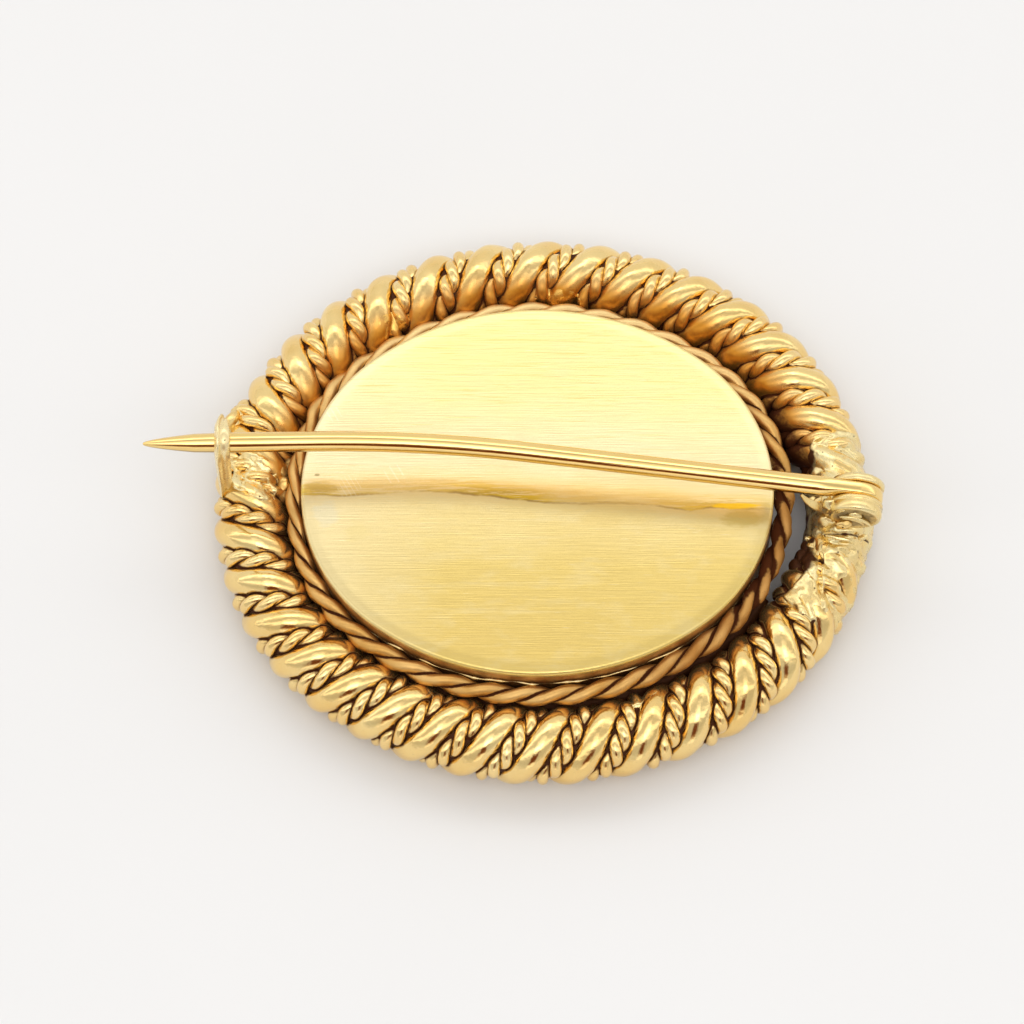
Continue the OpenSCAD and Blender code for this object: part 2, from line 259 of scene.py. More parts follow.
def shifted(faces, first):
    return [[k + first for k in face] for face in faces]


def turn_outward(mesh, weld=0.0):
    """Turns all faces outward, after joining the points that lie closer than weld."""
    work = bmesh.new()
    work.from_mesh(mesh)
    if weld:
        bmesh.ops.remove_doubles(work, verts=work.verts[:], dist=weld)
    bmesh.ops.recalc_face_normals(work, faces=work.faces[:])
    work.to_mesh(mesh)
    work.free()


class Build:
    """Collects shells of points in the frame's own millimetres, and makes one mesh piece of them."""

    def __init__(self):
        self.points, self.faces, self.depths, self.flows, self.tints = [], [], [], [], []
        self.count = 0

    def add(self, points, faces, depth=0.0, flow=None, tint=0.0):
        """Adds a shell, with how deep in dirt and painted shade and how amber its points are."""
        flat = points.reshape(-1, 3)
        self.points.append(flat)
        self.faces += shifted(faces, self.count)
        self.depths.append(np.broadcast_to(depth, points.shape[:-1]).reshape(-1))
        self.tints.append(np.broadcast_to(tint, points.shape[:-1]).reshape(-1))
        self.flows.append(flat if flow is None else np.broadcast_to(flow, points.shape).reshape(-1, 3))
        self.count += len(flat)

    def piece(self, name, material, body, replaced=()):
        mesh = bpy.data.meshes.new(name)
        points = (np.concatenate(self.points) + FRAME_MIDDLE) * MM
        mesh.from_pydata(points.tolist(), [], self.faces)
        mesh.update()
        turn_outward(mesh)
        mesh.polygons.foreach_set("use_smooth", [True] * len(mesh.polygons))
        for key, kind, slots, values in (("depth", "FLOAT", "value", self.depths),
                                         ("tint", "FLOAT", "value", self.tints),
                                         ("flow", "FLOAT_VECTOR", "vector", self.flows)):
            stored = mesh.attributes.new(key, kind, "POINT")
            stored.data.foreach_set(slots, np.concatenate(values).astype(np.float32).reshape(-1))
        mesh.materials.append(material)
        obj = bpy.data.objects.new(name, mesh)
        bpy.context.scene.collection.objects.link(obj)
        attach(obj, body)
        if replaced:
            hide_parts(*replaced)
        return obj


# Node materials
class Value:
    """A node's output. Arithmetic on it adds math nodes."""

    def __init__(self, look, socket):
        self.look, self.socket = look, socket

    def __add__(self, other):
        return self.look.math("ADD", self, other)

    def __sub__(self, other):
        return self.look.math("SUBTRACT", self, other)

    def __rsub__(self, other):
        return self.look.math("SUBTRACT", other, self)

    def __mul__(self, other):
        return self.look.math("MULTIPLY", self, other)


class Look:
    """The node tree of a material or of the world, with short calls to add nodes to it."""

    def __init__(self, owner):
        owner.use_nodes = True
        self.owner, self.tree = owner, owner.node_tree
        self.tree.nodes.clear()

    def node(self, kind, inputs=(), output=0, **settings):
        made = self.tree.nodes.new("ShaderNode" + kind)
        for key, value in settings.items():
            setattr(made, key, value)
        for key, value in dict(inputs).items():
            if isinstance(value, Value):
                self.tree.links.new(value.socket, made.inputs[key])
            else:
                made.inputs[key].default_value = value
        return Value(self, made.outputs[output]) if made.outputs else None

    def math(self, operation, a, b=0.0, clamp=False):
        return self.node("Math", {0: a, 1: b}, operation=operation, use_clamp=clamp)

    def attribute(self, name):
        return self.node("Attribute", (), "Fac", attribute_name=name)

    def place(self, scale=(1, 1, 1), turn=0.0, attribute=None):
        """Coordinates in millimetres, scaled and turned: the object's own, or those of a mesh attribute."""
        if attribute:
            source, per_mm = self.node("Attribute", (), "Vector", attribute_name=attribute), 1.0
        else:
            source, per_mm = self.node("TexCoord", (), "Object"), 1 / MM
        size = tuple(per_mm * s for s in scale)
        return self.node("Mapping", {"Vector": source, "Scale": size, "Rotation": (0, 0, turn)})

    def axis(self, index):
        return self.node("SeparateXYZ", {0: self.place()}, index)

    def grain(self, scale, detail=3.0, roughness=0.55, turn=0.0, attribute=None):
        """Noise of the given grains a millimetre: one number, or one for each axis."""
        even = not hasattr(scale, "__len__")
        where = self.place((1, 1, 1) if even else scale, turn, attribute)
        return self.node("TexNoise", {"Vector": where, "Scale": scale if even else 1.0, "Detail": detail,
                                      "Roughness": roughness}, "Fac")

    def away(self, x, y, long, wide):
        """Distance from a place on the plate, in the given half sizes."""
        spot = ((x + FRAME_MIDDLE[0]) / long, y / wide, 0)
        return self.node("VectorMath", {0: self.place((1 / long, 1 / wide, 0)), 1: spot}, "Value",
                         operation="DISTANCE")

    def between(self, value, low, high, soft=False):
        """A share from 0 at low to 1 at high."""
        return self.node("MapRange", {"Value": value, "From Min": low, "From Max": high},
                         interpolation_type="SMOOTHSTEP" if soft else "LINEAR")

    def ramp(self, value, *stops):
        """A colour ramp of (place, colour or grey) stops."""
        made = self.node("ValToRGB", {"Fac": value})
        elements = made.socket.node.color_ramp.elements
        while len(elements) < len(stops):
            elements.new(0.5)
        for element, (position, colour) in zip(elements, stops):
            element.position = position
            element.color = (*colour, 1) if hasattr(colour, "__len__") else (colour, colour, colour, 1)
        return made

    def mix(self, factor, a, b):
        a, b = (colour if isinstance(colour, Value) else (*colour, 1) for colour in (a, b))
        return self.node("Mix", {0: factor, 6: a, 7: b}, 2, data_type="RGBA")

    def blend(self, factor, a, b):
        return self.node("Mix", {0: factor, 2: a, 3: b}, data_type="FLOAT")

    def bump(self, height, strength, distance_mm, normal=None):
        inputs = {"Height": height, "Strength": strength, "Distance": distance_mm * MM}
        if normal is not None:
            inputs["Normal"] = normal
        return self.node("Bump", inputs)

    def finish(self, **inputs):
        shader = self.node("BsdfPrincipled", {key.replace("_", " "): value for key, value in inputs.items()})
        self.node("OutputMaterial", {0: shader})
        return self.owner


def new_look(name):
    return Look(bpy.data.materials.new(name))


# CREVICE: the dark of dirt and painted shade deep in the grooves; BROWN_EDGE: painted soft shade beside it
CREVICE, BROWN_EDGE = (0.075, 0.019, 0.004), (0.40, 0.21, 0.055)


def wire_look(name, bright, deep, amber, dirt_from, dirt_to, shine, dull=0.0, far_tone=None, lined=0.4,
              brown=0.45):
    """Drawn gold wire: polished crests, fine lines along it, dents, and dark dirt with painted shade deep in
    the grooves.
    """
    look = new_look(name)
    lines = look.grain((0.5, 7, 7), 4, attribute="flow")
    patches = look.grain(0.35)
    fine = look.grain(5.0, 4, 0.6)
    depth = look.attribute("depth") + (fine - 0.5) * 0.45
    # dirt: dirt and painted shade together, darker the deeper in the grooves
    dirt = look.between(depth, dirt_from, dirt_to, True)
    metal = look.mix(look.ramp(patches, (0.35, 0.0), (0.68, 1.0)), bright, deep)
    if far_tone is not None:
        metal = look.mix(look.between(look.axis(1), 4.0, 11.0), metal, far_tone)
    tint = look.attribute("tint")
    tint = look.math("ADD", tint, (patches - 0.5) * tint, clamp=True)
    metal = look.mix(tint, metal, amber)
    # painted soft shade: a brown band at the edge of the dark grooves
    metal = look.mix(look.between(depth, dirt_from - 0.3, dirt_from + 0.1, True) * brown, metal, BROWN_EDGE)
    spots = look.ramp(look.grain(14.0, 2, 0.6), (0.66, 0.0), (0.74, 1.0))
    worn_and_shaded = look.math("MAXIMUM", dirt, spots * (0.18 + dull))
    rough = look.blend(lines, shine - 0.06, shine + 0.1) + worn_and_shaded * 0.45 + tint * 0.22
    normal = look.bump(lines * lined + fine * 0.35, 0.5, 0.03)
    normal = look.bump(look.grain(1.2, 2), 0.4, 0.10, normal)
    clean = look.math("SUBTRACT", 1.0, worn_and_shaded * 0.75, clamp=True)
    return look.finish(Base_Color=look.mix(worn_and_shaded, metal, CREVICE), Roughness=rough, Normal=normal,
                       Metallic=look.math("SUBTRACT", clean, tint * 0.2, clamp=True), Specular_IOR_Level=0.15)


# Painted light: tones of the plate from its darker near edge to its lighter far edge
PLATE_LIGHT_TONES = [(0.06, (0.77, 0.56, 0.16)), (0.30, (0.79, 0.59, 0.18)), (0.46, (0.85, 0.67, 0.28)),
               (0.58, (0.94, 0.79, 0.45)), (0.76, (0.94, 0.77, 0.34)), (0.95, (0.94, 0.76, 0.31))]
# Ragged smears on the plate: place, half sizes, strength and colour. The first and fourth are a painted
# reflection of the pin's stem, the third one of the hinge.
PLATE_SMEARS_AND_REFLECTIONS = [((-12.6, 0.12), (2.1, 0.9), 0.65, (0.60, 0.42, 0.10)),
                ((-12.85, 0.90), (0.33, 0.16), 0.8, (0.34, 0.27, 0.12)),
                ((11.5, -1.75), (2.5, 1.15), 0.75, (0.66, 0.49, 0.13)),
                ((10.9, -1.02), (2.9, 0.36), 0.95, (0.96, 0.66, 0.03)),
                ((3.5, -1.9), (2.9, 1.0), 0.45, (0.80, 0.60, 0.21)),
                ((7.5, -3.0), (4.0, 1.4), 0.40, (0.84, 0.65, 0.24)),
                ((-10.5, -2.6), (1.6, 1.2), 0.40, (0.80, 0.64, 0.25)),
                ((-5.5, -3.2), (3.8, 1.2), 0.35, (0.84, 0.66, 0.25)),
                ((-12.3, -1.5), (1.5, 1.6), 0.45, (0.76, 0.71, 0.50))]
# Groups of parallel scratches: place, reach and spacing
PLATE_HATCHES = [((-11.0, 0.2), 1.25, 0.235), ((-8.5, 0.9), 1.1, 0.42), ((-11.9, 4.6), 0.9, 0.3)]
# The painted reflection of the pin's stem across the plate, a wavy dark line with an amber band above it:
# place along the brooch, place across it, strength of the painted band above it
STEM_REFLECTION_LINE = [(-14.0, -0.31, 0.85), (-11.3, -0.38, 0.60), (-9.1, -0.26, 0.40), (-7.0, -0.14, 0.45),
              (-4.9, -0.24, 0.75), (-3.2, -0.41, 1.0), (-0.6, -0.72, 1.0), (1.0, -0.92, 0.35),
              (4.1, -0.83, 0.15), (5.7, -0.92, 0.20), (8.4, -1.34, 0.70), (9.3, -1.14, 0.80),
              (14.0, -1.2, 0.30)]
LINE_REACH, LINE_DROP = 14, 2


def painted_stem_reflection(look, metal, coarse, ragged):
    """The painted reflection of the pin's stem: a wavy dark line, with an amber band of wisps on its far
    side.
    """
    share = look.between(look.axis(0), FRAME_MIDDLE[0] - LINE_REACH, FRAME_MIDDLE[0] + LINE_REACH)
    rows = [((x + LINE_REACH) / (2 * LINE_REACH), (y + LINE_DROP) / LINE_DROP, amount)
            for x, y, amount in STEM_REFLECTION_LINE]
    line = look.ramp(share, *((along, across) for along, across, _ in rows))
    strength = look.ramp(share, *((along, amount) for along, _, amount in rows))
    above = look.axis(1) - (line * LINE_DROP - LINE_DROP) + (look.grain((0.8, 0.8, 1)) - 0.5) * 0.30
    wisps = look.ramp(look.grain((0.5, 8, 1), 4, 0.65, -0.06), (0.43, 0.0), (0.49, 1.0))
    band = look.ramp((above + 0.2) * 0.625, (0.09, 0.0), (0.14, 1.0), (0.40, 0.75), (0.78, 0.0))
    amber = look.mix(look.ramp(coarse, (0.35, 0.0), (0.65, 1.0)), (0.88, 0.60, 0.01), (0.55, 0.38, 0.04))
    metal = look.mix(band * strength * wisps, metal, amber)
    reflection_edge = 1.0 - look.between(look.math("ABSOLUTE", above), 0.03, 0.10)
    reflection_edge = reflection_edge * look.ramp(ragged, (0.38, 0.05), (0.56, 0.85)) * (strength * 0.6 + 0.4)
    return look.mix(reflection_edge, metal, (0.40, 0.26, 0.08))


def plate_look():
    """Rolled sheet, brushed along the brooch, with thin scratches and a pale haze of painted light towards
    its left end; painted light also makes it lighter towards its far edge, and paints the reflections of the
    pin's stem and hinge on it.
    """
    look = new_look("brushed_sheet")
    depth, along, across = look.attribute("depth"), look.axis(0), look.axis(1)
    brushed = look.grain((0.35, 14, 1), 5, 0.65)
    coarse = look.grain((0.12, 2.2, 1), 3, 0.6)
    haze = look.grain((0.10, 0.16, 1))
    fine = look.grain(6.0)
    # painted light: the tones run from darker at the near edge to lighter at the far edge
    metal = look.ramp(across * 0.045 + ((haze - 0.5) * 0.35 + 0.5), *PLATE_LIGHT_TONES)
    # painted light: a paler patch towards the plate's left end
    metal = look.mix(look.between(along, -4.0, -11.0) * 0.55, metal, (0.93, 0.80, 0.50))
    metal = look.mix(look.ramp(coarse, (0.55, 0.0), (0.85, 0.5)), metal, (0.90, 0.78, 0.44))
    streaks = look.ramp(look.grain((0.30, 9, 1), 2, 0.5), (0.60, 0.0), (0.68, 0.75))
    metal = look.mix(streaks * look.between(across, -1.0, 9.0), metal, (0.86, 0.60, 0.17))
    metal = look.mix(look.ramp(brushed, (0.42, 0.14), (0.60, 0.0)), metal, (0.76, 0.58, 0.24))
    blotch = look.grain((0.45, 0.9, 1), 4, 0.6)
    metal = look.mix(look.ramp(blotch, (0.50, 0.0), (0.66, 0.28)), metal, (0.84, 0.70, 0.36))
    scratches = look.ramp(look.grain((0.5, 11, 1), 2, 0.6, 0.16), (0.70, 0.0), (0.76, 1.0))
    metal = look.mix(scratches * 0.4, metal, (0.96, 0.90, 0.66))
    ragged = look.grain((0.7, 2.2, 1), 5, 0.65)
    metal = painted_stem_reflection(look, metal, coarse, ragged)
    # the amber smears by the pin's stem and hinge are painted reflections of them
    for place, size, amount, stain in PLATE_SMEARS_AND_REFLECTIONS:
        share = look.ramp(look.away(*place, *size) + ragged * 0.9, (0.78, 1.0), (1.0, 0.0))
        metal = look.mix(share * amount, metal, stain)
    for place, reach, gap in PLATE_HATCHES:
        line = look.node("VectorMath", {0: look.place(), 1: (0.87 / gap, 0.5 / gap, 0)}, "Value",
                         operation="DOT_PRODUCT")
        line = look.ramp(look.math("FRACT", line), (0.0, 1.0), (0.18, 0.0), (0.85, 0.0), (1.0, 1.0))
        share = look.ramp(look.away(*place, reach, reach) + fine * 0.8, (0.85, 1.0), (1.3, 0.0))
        metal = look.mix(share * line * 0.6, metal, (0.97, 0.88, 0.60))
    tarnish = look.ramp(depth + fine * 0.3, (0.25, 0.0), (0.5, 1.0))
    dirt = look.between(depth + fine * 0.5, 0.95, 1.5, True)
    stains = look.ramp(look.grain((1.3, 1.3, 0.65)), (0.35, 0.0), (0.65, 1.0))
    metal = look.mix(tarnish, metal, look.mix(stains, (0.42, 0.15, 0.025), (0.62, 0.30, 0.07)))
    normal = look.bump(look.grain(0.5, 2), 0.10, 0.05, look.bump(brushed, 0.45, 0.02))
    return look.finish(Base_Color=look.mix(dirt, metal, (0.085, 0.028, 0.008)), Normal=normal,
                       Metallic=0.64 - tarnish * 0.30 - dirt * 0.3,
                       Roughness=look.blend(brushed, 0.20, 0.30) + tarnish * 0.15)


def solder_look():
    """Flooded solder: paler and greyer than the wire, with lumps and small dark pits."""
    look = new_look("solder")
    depth = look.attribute("depth")
    cells = look.node("TexVoronoi", {"Vector": look.place(), "Scale": 2.2, "Randomness": 1.0}, "Distance")
    spread = look.ramp(look.grain(0.9, 2), (0.50, 0.0), (0.56, 1.0))
    pits = look.ramp(cells, (0.06, 1.0), (0.16, 0.0)) * spread
    lumps = look.grain(2.4, 4, 0.6)
    patches = look.ramp(look.grain(0.7), (0.38, 0.0), (0.62, 1.0))
    metal = look.mix(patches, (0.88, 0.73, 0.38), (0.86, 0.64, 0.27))
    strip = look.between(depth, -0.1, -0.5)
    metal = look.mix(strip, metal, (0.90, 0.74, 0.40))
    metal = look.mix(look.attribute("tint"), metal, (0.82, 0.46, 0.10))
    # the depth attribute darkens the solder with dirt and painted shade
    dirt = look.between(depth + (lumps - 0.5) * 0.6, 0.5, 1.0, True)
    worn_and_shaded = look.math("MAXIMUM", dirt, pits, clamp=True)
    normal = look.bump(lumps - pits * 1.2, look.blend(strip, 0.38, 0.04), 0.05)
    return look.finish(Base_Color=look.mix(worn_and_shaded, metal, (0.07, 0.022, 0.006)), Normal=normal,
                       Metallic=0.95 - strip * 0.25 - worn_and_shaded * 0.6, Specular_IOR_Level=0.2,
                       Roughness=look.blend(lumps, 0.20, 0.36) + worn_and_shaded * 0.3)


def pin_look():
    """Polished hard wire with fine lines along it."""
    look = new_look("polished_wire")
    lines = look.grain((0.12, 9, 9), 4, attribute="flow")
    patches = look.ramp(look.grain((0.3, 1, 1), 2), (0.3, 0.0), (0.7, 1.0))
    metal = look.mix(patches, (0.93, 0.68, 0.27), (0.91, 0.63, 0.23))
    normal = look.bump(look.grain(1.1, 2), 0.15, 0.05, look.bump(lines, 0.30, 0.02))
    # the depth attribute paints shade along the stem's lower side
    return look.finish(Base_Color=look.mix(look.attribute("depth"), metal, (0.10, 0.035, 0.010)),
                       Metallic=1.0, Roughness=look.blend(lines, 0.05, 0.12), Normal=normal)


def stone_look():
    """Deep red polished stone."""
    look = new_look("red_stone")
    cloud = look.ramp(look.grain(0.25), (0.35, 0.0), (0.65, 1.0))
    return look.finish(Base_Color=look.mix(cloud, (0.36, 0.006, 0.016), (0.20, 0.002, 0.008)), IOR=1.76,
                       Roughness=look.blend(look.grain(3.0, 2), 0.02, 0.05), Transmission_Weight=0.55)


GOLD = wire_look("gold_wire", (0.95, 0.71, 0.31), (0.90, 0.61, 0.22), (0.62, 0.26, 0.03), 0.70, 1.1, 0.11)
GOLD_THIN = wire_look("gold_thin_wire", (0.95, 0.71, 0.32), (0.90, 0.61, 0.23), (0.60, 0.26, 0.04),
                      0.70, 1.1, 0.15)
TARNISHED = wire_look("tarnished_wire", (0.77, 0.48, 0.17), (0.62, 0.34, 0.09), (0.40, 0.15, 0.02),
                      0.55, 0.85, 0.44, 0.25, (0.88, 0.63, 0.28), 0.05, 0.2)
SHEET = plate_look()
SOLDER = solder_look()
PIN = pin_look()
STONE = stone_look()


def rope_place(points):
    """How far points lie inside the rope's outer skin, and how far outside its centreline."""
    x, y, z = axes(points)
    # the nearest centre of the four arcs gives the distance from the centreline
    end, side = np.abs(x) - END_CENTRE_X, np.abs(y) + SIDE_RADIUS - ROPE_HALF_WIDTH
    towards_end = np.degrees(np.arctan2(np.abs(y), end)) < END_HALF_ANGLE
    out = np.where(towards_end, np.hypot(end, y) - ROPE_END_RADIUS, np.hypot(x, side) - SIDE_RADIUS)
    return ROPE_RADIUS - np.hypot(out, z), out


def beside_hinge(points, start, end):
    """A share of 1 on the ring's inner side by the hinge."""
    return smooth(8.5, 6.0, np.abs(points[..., 1] + 1.0)) * smooth(start, end, points[..., 0])


def rope_dirt_and_shade(points):
    """Dirt and painted shade deep between the wires, along the rope's inner side and beside the hinge."""
    depth, out = rope_place(points)
    far = smooth(-6.0, 4.0, points[..., 1])
    inner = (0.06 + 0.50 * far) * smooth(-0.9 + 0.1 * far, -1.9, out)
    inner = inner + 0.3 * far * smooth(-1.85, -2.3, out)
    return depth + inner + 0.45 * beside_hinge(points, 10.0, 12.5) * smooth(-0.5, -1.6, out)


def rope_tint(points):
    """Amber towards the rope's inner side, most of all at the far side of the ring."""
    far = smooth(-6.0, 5.0, points[..., 1])
    return (0.35 + 0.65 * far) * smooth(0.1 - 0.8 * (1 - far), -1.5, rope_place(points)[1])


def path_tree(paths):
    points = np.concatenate(paths)
    tree = KDTree(len(points))
    for index, point in enumerate(points):
        tree.insert(Vector(point), index)
    tree.balance()
    return tree


def contact_dirt_and_shade(points, tree, radius, reach=0.17):
    """Dark dirt and painted shade along the line where another wire, with its middle in the tree, touches."""
    away = np.array([tree.find(Vector(point))[2] for point in points.reshape(-1, 3)])
    away = away.reshape(points.shape[:-1]) - radius
    far = smooth(-4.0, 4.0, points[..., 1])
    reach = reach * (1 - 0.4 * far)
    line = smooth(reach * (1 + 0.65 * np.clip(field(points, 0.9, 37), -1, 1)), 0.01, away)
    return line * (1 - 0.25 * far) + (0.35 - 0.3 * far) * smooth(2.2 * reach, 0.3 * reach, away) * (1 - line)


# Rope: two fat plain wires and two thin strands, each of two finer wires twisted together
PLAIN_WIRES = [("rope_plain_1", "plain_strand_1", 0.0, 11), ("rope_plain_2", "plain_strand_2", 180.0, 23)]
THIN_STRANDS = [("rope_twisted_1", "twisted_strand_1", 90.0, 37),
                ("rope_twisted_2", "twisted_strand_2", 270.0, 53)]


def plain_path(start, seed, rings):
    share = shares(rings)
    return wound_line(share, rope_twist(start, share) + wobble(rings, 70, seed, 1.2), PLAIN_WIND)


def twisted_path(start, seed, rings):
    share = shares(rings)
    twist = rope_twist(start, share) + wobble(rings, 70, seed, 1.5)
    return wound_line(share, twist, TWISTED_WIND + wobble(rings, 60, seed + 5, 0.01))


def thin_wires(path, away, sides, seed):
    """The two wires of a thin strand, twisted left-handed. Gives each wire's middle and its rings."""
    count = len(path)
    _, outward, across = frames(path, away, True)
    for start in (0, 180):
        spin = start - 360 * THIN_TWISTS * np.arange(count) / count + wobble(count, 40, seed, 8.0)
        direction = cosd(spin)[:, None] * outward + sind(spin)[:, None] * across
        wire = path + THIN_WIRE_WIND * direction
        radius = THIN_WIRE_RADIUS * (1 + wobble(count, 90, seed + start, 0.02))
        yield wire, tube(wire, direction, radius, sides)


def rope_wire(build, path, points, touching):
    """Adds a wire's skin, and keeps it for the solder that will flow over it."""
    faces = grid_faces(*points.shape[:2])
    build.add(bumped(points), faces, rope_dirt_and_shade(points) + touching, closed_flow(path, points.shape[1]),
              rope_tint(points))
    rope_skins.append((points.reshape(-1, 3), faces))


def plain_strand(name, replaced, start, seed, rings=ROPE_TURNS * 80):
    path, away = plain_path(start, seed, rings)
    points = tube(path, away, PLAIN_RADIUS * (1 + wobble(rings, 160, seed + 1, 0.006)), 30)
    points = uneven(points, 0.035, 0.9, seed, unit(points - path[:, None]))
    build = Build()
    rope_wire(build, path, points, contact_dirt_and_shade(points, THIN_TREE, THIN_WIRE_RADIUS))
    build.piece(name, GOLD, "brooch", [replaced])


def twisted_strand(name, replaced, start, seed, rings=THIN_TWISTS * 24):
    path, away = twisted_path(start, seed, rings)
    build = Build()
    pair = list(thin_wires(path, away, 14, seed))
    for (_, points), (partner, _) in zip(pair, pair[::-1]):
        touching = np.maximum(contact_dirt_and_shade(points, PLAIN_TREE, PLAIN_RADIUS),
                              0.9 * contact_dirt_and_shade(points, path_tree([partner]), THIN_WIRE_RADIUS - 0.03))
        rope_wire(build, path, points, touching)
    build.piece(name, GOLD_THIN, "brooch", [replaced])


rope_skins = []
PLAIN_TREE = path_tree([plain_path(start, seed, ROPE_TURNS * 160)[0] for _, _, start, seed in PLAIN_WIRES])
THIN_TREE = path_tree([wire for _, _, start, seed in THIN_STRANDS
                       for wire, _ in thin_wires(*twisted_path(start, seed, THIN_TWISTS * 40), 3, seed)])
for wire in PLAIN_WIRES:
    plain_strand(*wire)
for strand in THIN_STRANDS:
    twisted_strand(*strand)


# Twisted border between the setting and the rope
def border_path(start, rings):
    """A border wire's middle, the direction to it, and the line that both wires wind round."""
    share = shares(rings)
    twist = start + 360 * BORDER_TURNS * share + wobble(rings, 12, 71, 6.0)
    path, away = wound_line(share, twist, BORDER_WIND, -BORDER_INSET, BORDER_HEIGHT, -SETTING_SHIFT)
    middle, _ = wound_line(share, twist, 0.0, -BORDER_INSET, BORDER_HEIGHT, -SETTING_SHIFT)
    return path, away, middle


def border_wire(name, replaced, start, seed):
    rings, sides = BORDER_TURNS * 44, 22
    path, away, middle = border_path(start, rings)
    points = tube(path, away, BORDER_WIRE * (1 + wobble(rings, 120, seed, 0.008)), sides)
    x, y, _ = axes(points)
    lumpy = 0.02 + 0.07 * smooth(8.0, 11.5, x) * smooth(3.0, 0.5, y)
    points = uneven(points, lumpy, 1.6, seed, unit(points - path[:, None]))
    # dirt and painted shade: darker in the crease between the two wires and over their lower half
    crease = BORDER_WIRE + BORDER_WIND - np.linalg.norm(points - middle[:, None], axis=-1)
    depth = 0.7 * crease + 0.35 * smooth(0.1, -0.4, points[..., 2] - BORDER_HEIGHT)
    partner = path_tree([border_path(start + 180, 4 * rings)[0]])
    depth = depth + contact_dirt_and_shade(points, partner, BORDER_WIRE - 0.02, 0.20)
    # the near side lies a little further out
    points = points - 0.13 * smooth(-7.0, -11.0, points[..., 1])[..., None] * np.array([0.0, 1.0, 0.0])
    x, y, _ = axes(points)
    depth = depth + (0.30 * beside_hinge(points, 9.0, 12.0)
                     * (1 + 1.5 * np.clip(field(points, 0.8, 73), -0.6, 1)))
    depth = depth + 0.16 * smooth(2.0, 9.0, x) * smooth(-1.0, -6.0, y)
    # painted shade: dark pockets on the wires' side towards the plate, one for each half turn
    pockets = smooth(9.5, 12.0, x) * smooth(2.5, 1.0, y)
    depth = depth + 0.6 * pockets * smooth(-BORDER_INSET - 0.15, -BORDER_INSET - 0.55, rope_place(points)[1])
    # the far side lies lower, and near the catch the border is narrower, so light shows beside it
    points = points - smooth(3.0, 11.0, y)[..., None] * np.array([0.0, 0.05, 0.45])
    narrow = 0.16 * smooth(-12.0, -13.3, points[..., :1]) * np.clip(-13.2 - points[..., :1], 0, 2)
    points = points + narrow * np.array([1.0, 0, 0])
    x, y, _ = axes(points)
    browner = smooth(2.0, 10.0, x) * smooth(3.5, -1.5, y)
    browner = browner * np.clip(0.55 + 0.5 * field(points, 0.7, 79), 0.15, 0.85)
    build = Build()
    build.add(points, grid_faces(rings, sides), depth, closed_flow(path, sides), browner)
    build.piece(name, TARNISHED, "brooch", [replaced])


border_wire("border_twist_1", "border_wire_1", 0.0, 61)
border_wire("border_twist_2", "border_wire_2", 180.0, 67)


# Box setting: wall, rounded rim, back plate and the bezel turned in over the stone
SETTING_SIDES = 288
RIM_WIDTH, RIM_DROP, SHEET_GAUGE = 0.26, 0.24, 0.45
WELD = 1e-7


def setting_ring(inset, height, share=1.0):
    angle = 360 * (np.arange(SETTING_SIDES) + 0.5) / SETTING_SIDES
    x, y = axes(share * oval_point(angle, -WALL_INSET - inset))
    return stack(x - SETTING_SHIFT, y, height)


def setting():
    lip = (0.84, -BEZEL_DEPTH + 0.03)
    rows = [lip, (0.7, -BEZEL_DEPTH), (0.3, -BEZEL_DEPTH), (0.1, -BEZEL_DEPTH + 0.06),
            (0.02, -BEZEL_DEPTH + 0.18)]
    rows += [(0.0, height) for height in (0.0, 0.6, 1.2, 1.8, 2.2, 2.45)]
    rows += [(RIM_WIDTH * (1 - cosd(a)), PLATE_HEIGHT - RIM_DROP + RIM_DROP * sind(a))
             for a in range(0, 91, 9)]
    rings = [setting_ring(*row) for row in rows]
    for inset in (0.10, 0.20, 0.30, 0.42):
        rings.append(setting_ring(RIM_WIDTH + inset, PLATE_HEIGHT + 0.04 * smooth(-0.1, 0.42, inset) - 0.005))
    for share in (0.985, 0.96, 0.92, 0.86, 0.78, 0.68, 0.56, 0.43, 0.3, 0.18, 0.08):
        rings.append(setting_ring(RIM_WIDTH + 0.42, PLATE_HEIGHT + 0.035, share))
    outside = np.stack(rings)
    # the plate is slightly domed and wavy
    wave = field(outside * [0.6, 1, 1], 0.16, 3)
    on_plate = np.arange(len(rings)) >= len(rows)
    dome = 0.11 * (1 - (outside[..., 0] / 13.3) ** 2 - (outside[..., 1] / 11.1) ** 2)
    inside_rim = smooth(1.0, 0.93, np.linspace(1, 0, len(rings)))[:, None]
    outside[..., 2] += np.where(on_plate[:, None], 0.03 * wave * inside_rim + np.clip(dome, 0, 1), 0)
    z = outside[..., 2]
    build = Build()
    build.add(outside, lidded_faces(len(rings), SETTING_SIDES),
              np.where((z < 2.7) & (z > -0.4), 0.35 + 0.75 * smooth(2.75, 1.9, z), 0.0))
    inside = [lip, (0.80, -BEZEL_DEPTH + 0.1), (0.5, -0.15), (SHEET_GAUGE, 0.5), (SHEET_GAUGE, 2.5)]
    build.add(np.stack([setting_ring(*row) for row in inside]), lidded_faces(len(inside), SETTING_SIDES))
    turn_outward(build.piece("setting", SHEET, "brooch", ["back_cup"]).data, WELD)


def stone():
    """One oval cabochon, its dome towards the front."""
    girdle, dome, play = 0.1, 2.1, 0.08
    rows = [(0.2, 2.35), (0.7, 2.38), (0.96, 2.35), (1.0, 2.25), (1.0, 1.2)]
    rows += [(math.cos(math.radians(a)), girdle - dome * math.sin(math.radians(a))) for a in range(0, 87, 5)]
    build = Build()
    build.add(np.stack([setting_ring(SHEET_GAUGE + play, height, share) for share, height in rows]),
              capped_faces(len(rows), SETTING_SIDES))
    build.piece("stone", STONE, "brooch", ["garnet"])


setting()
stone()


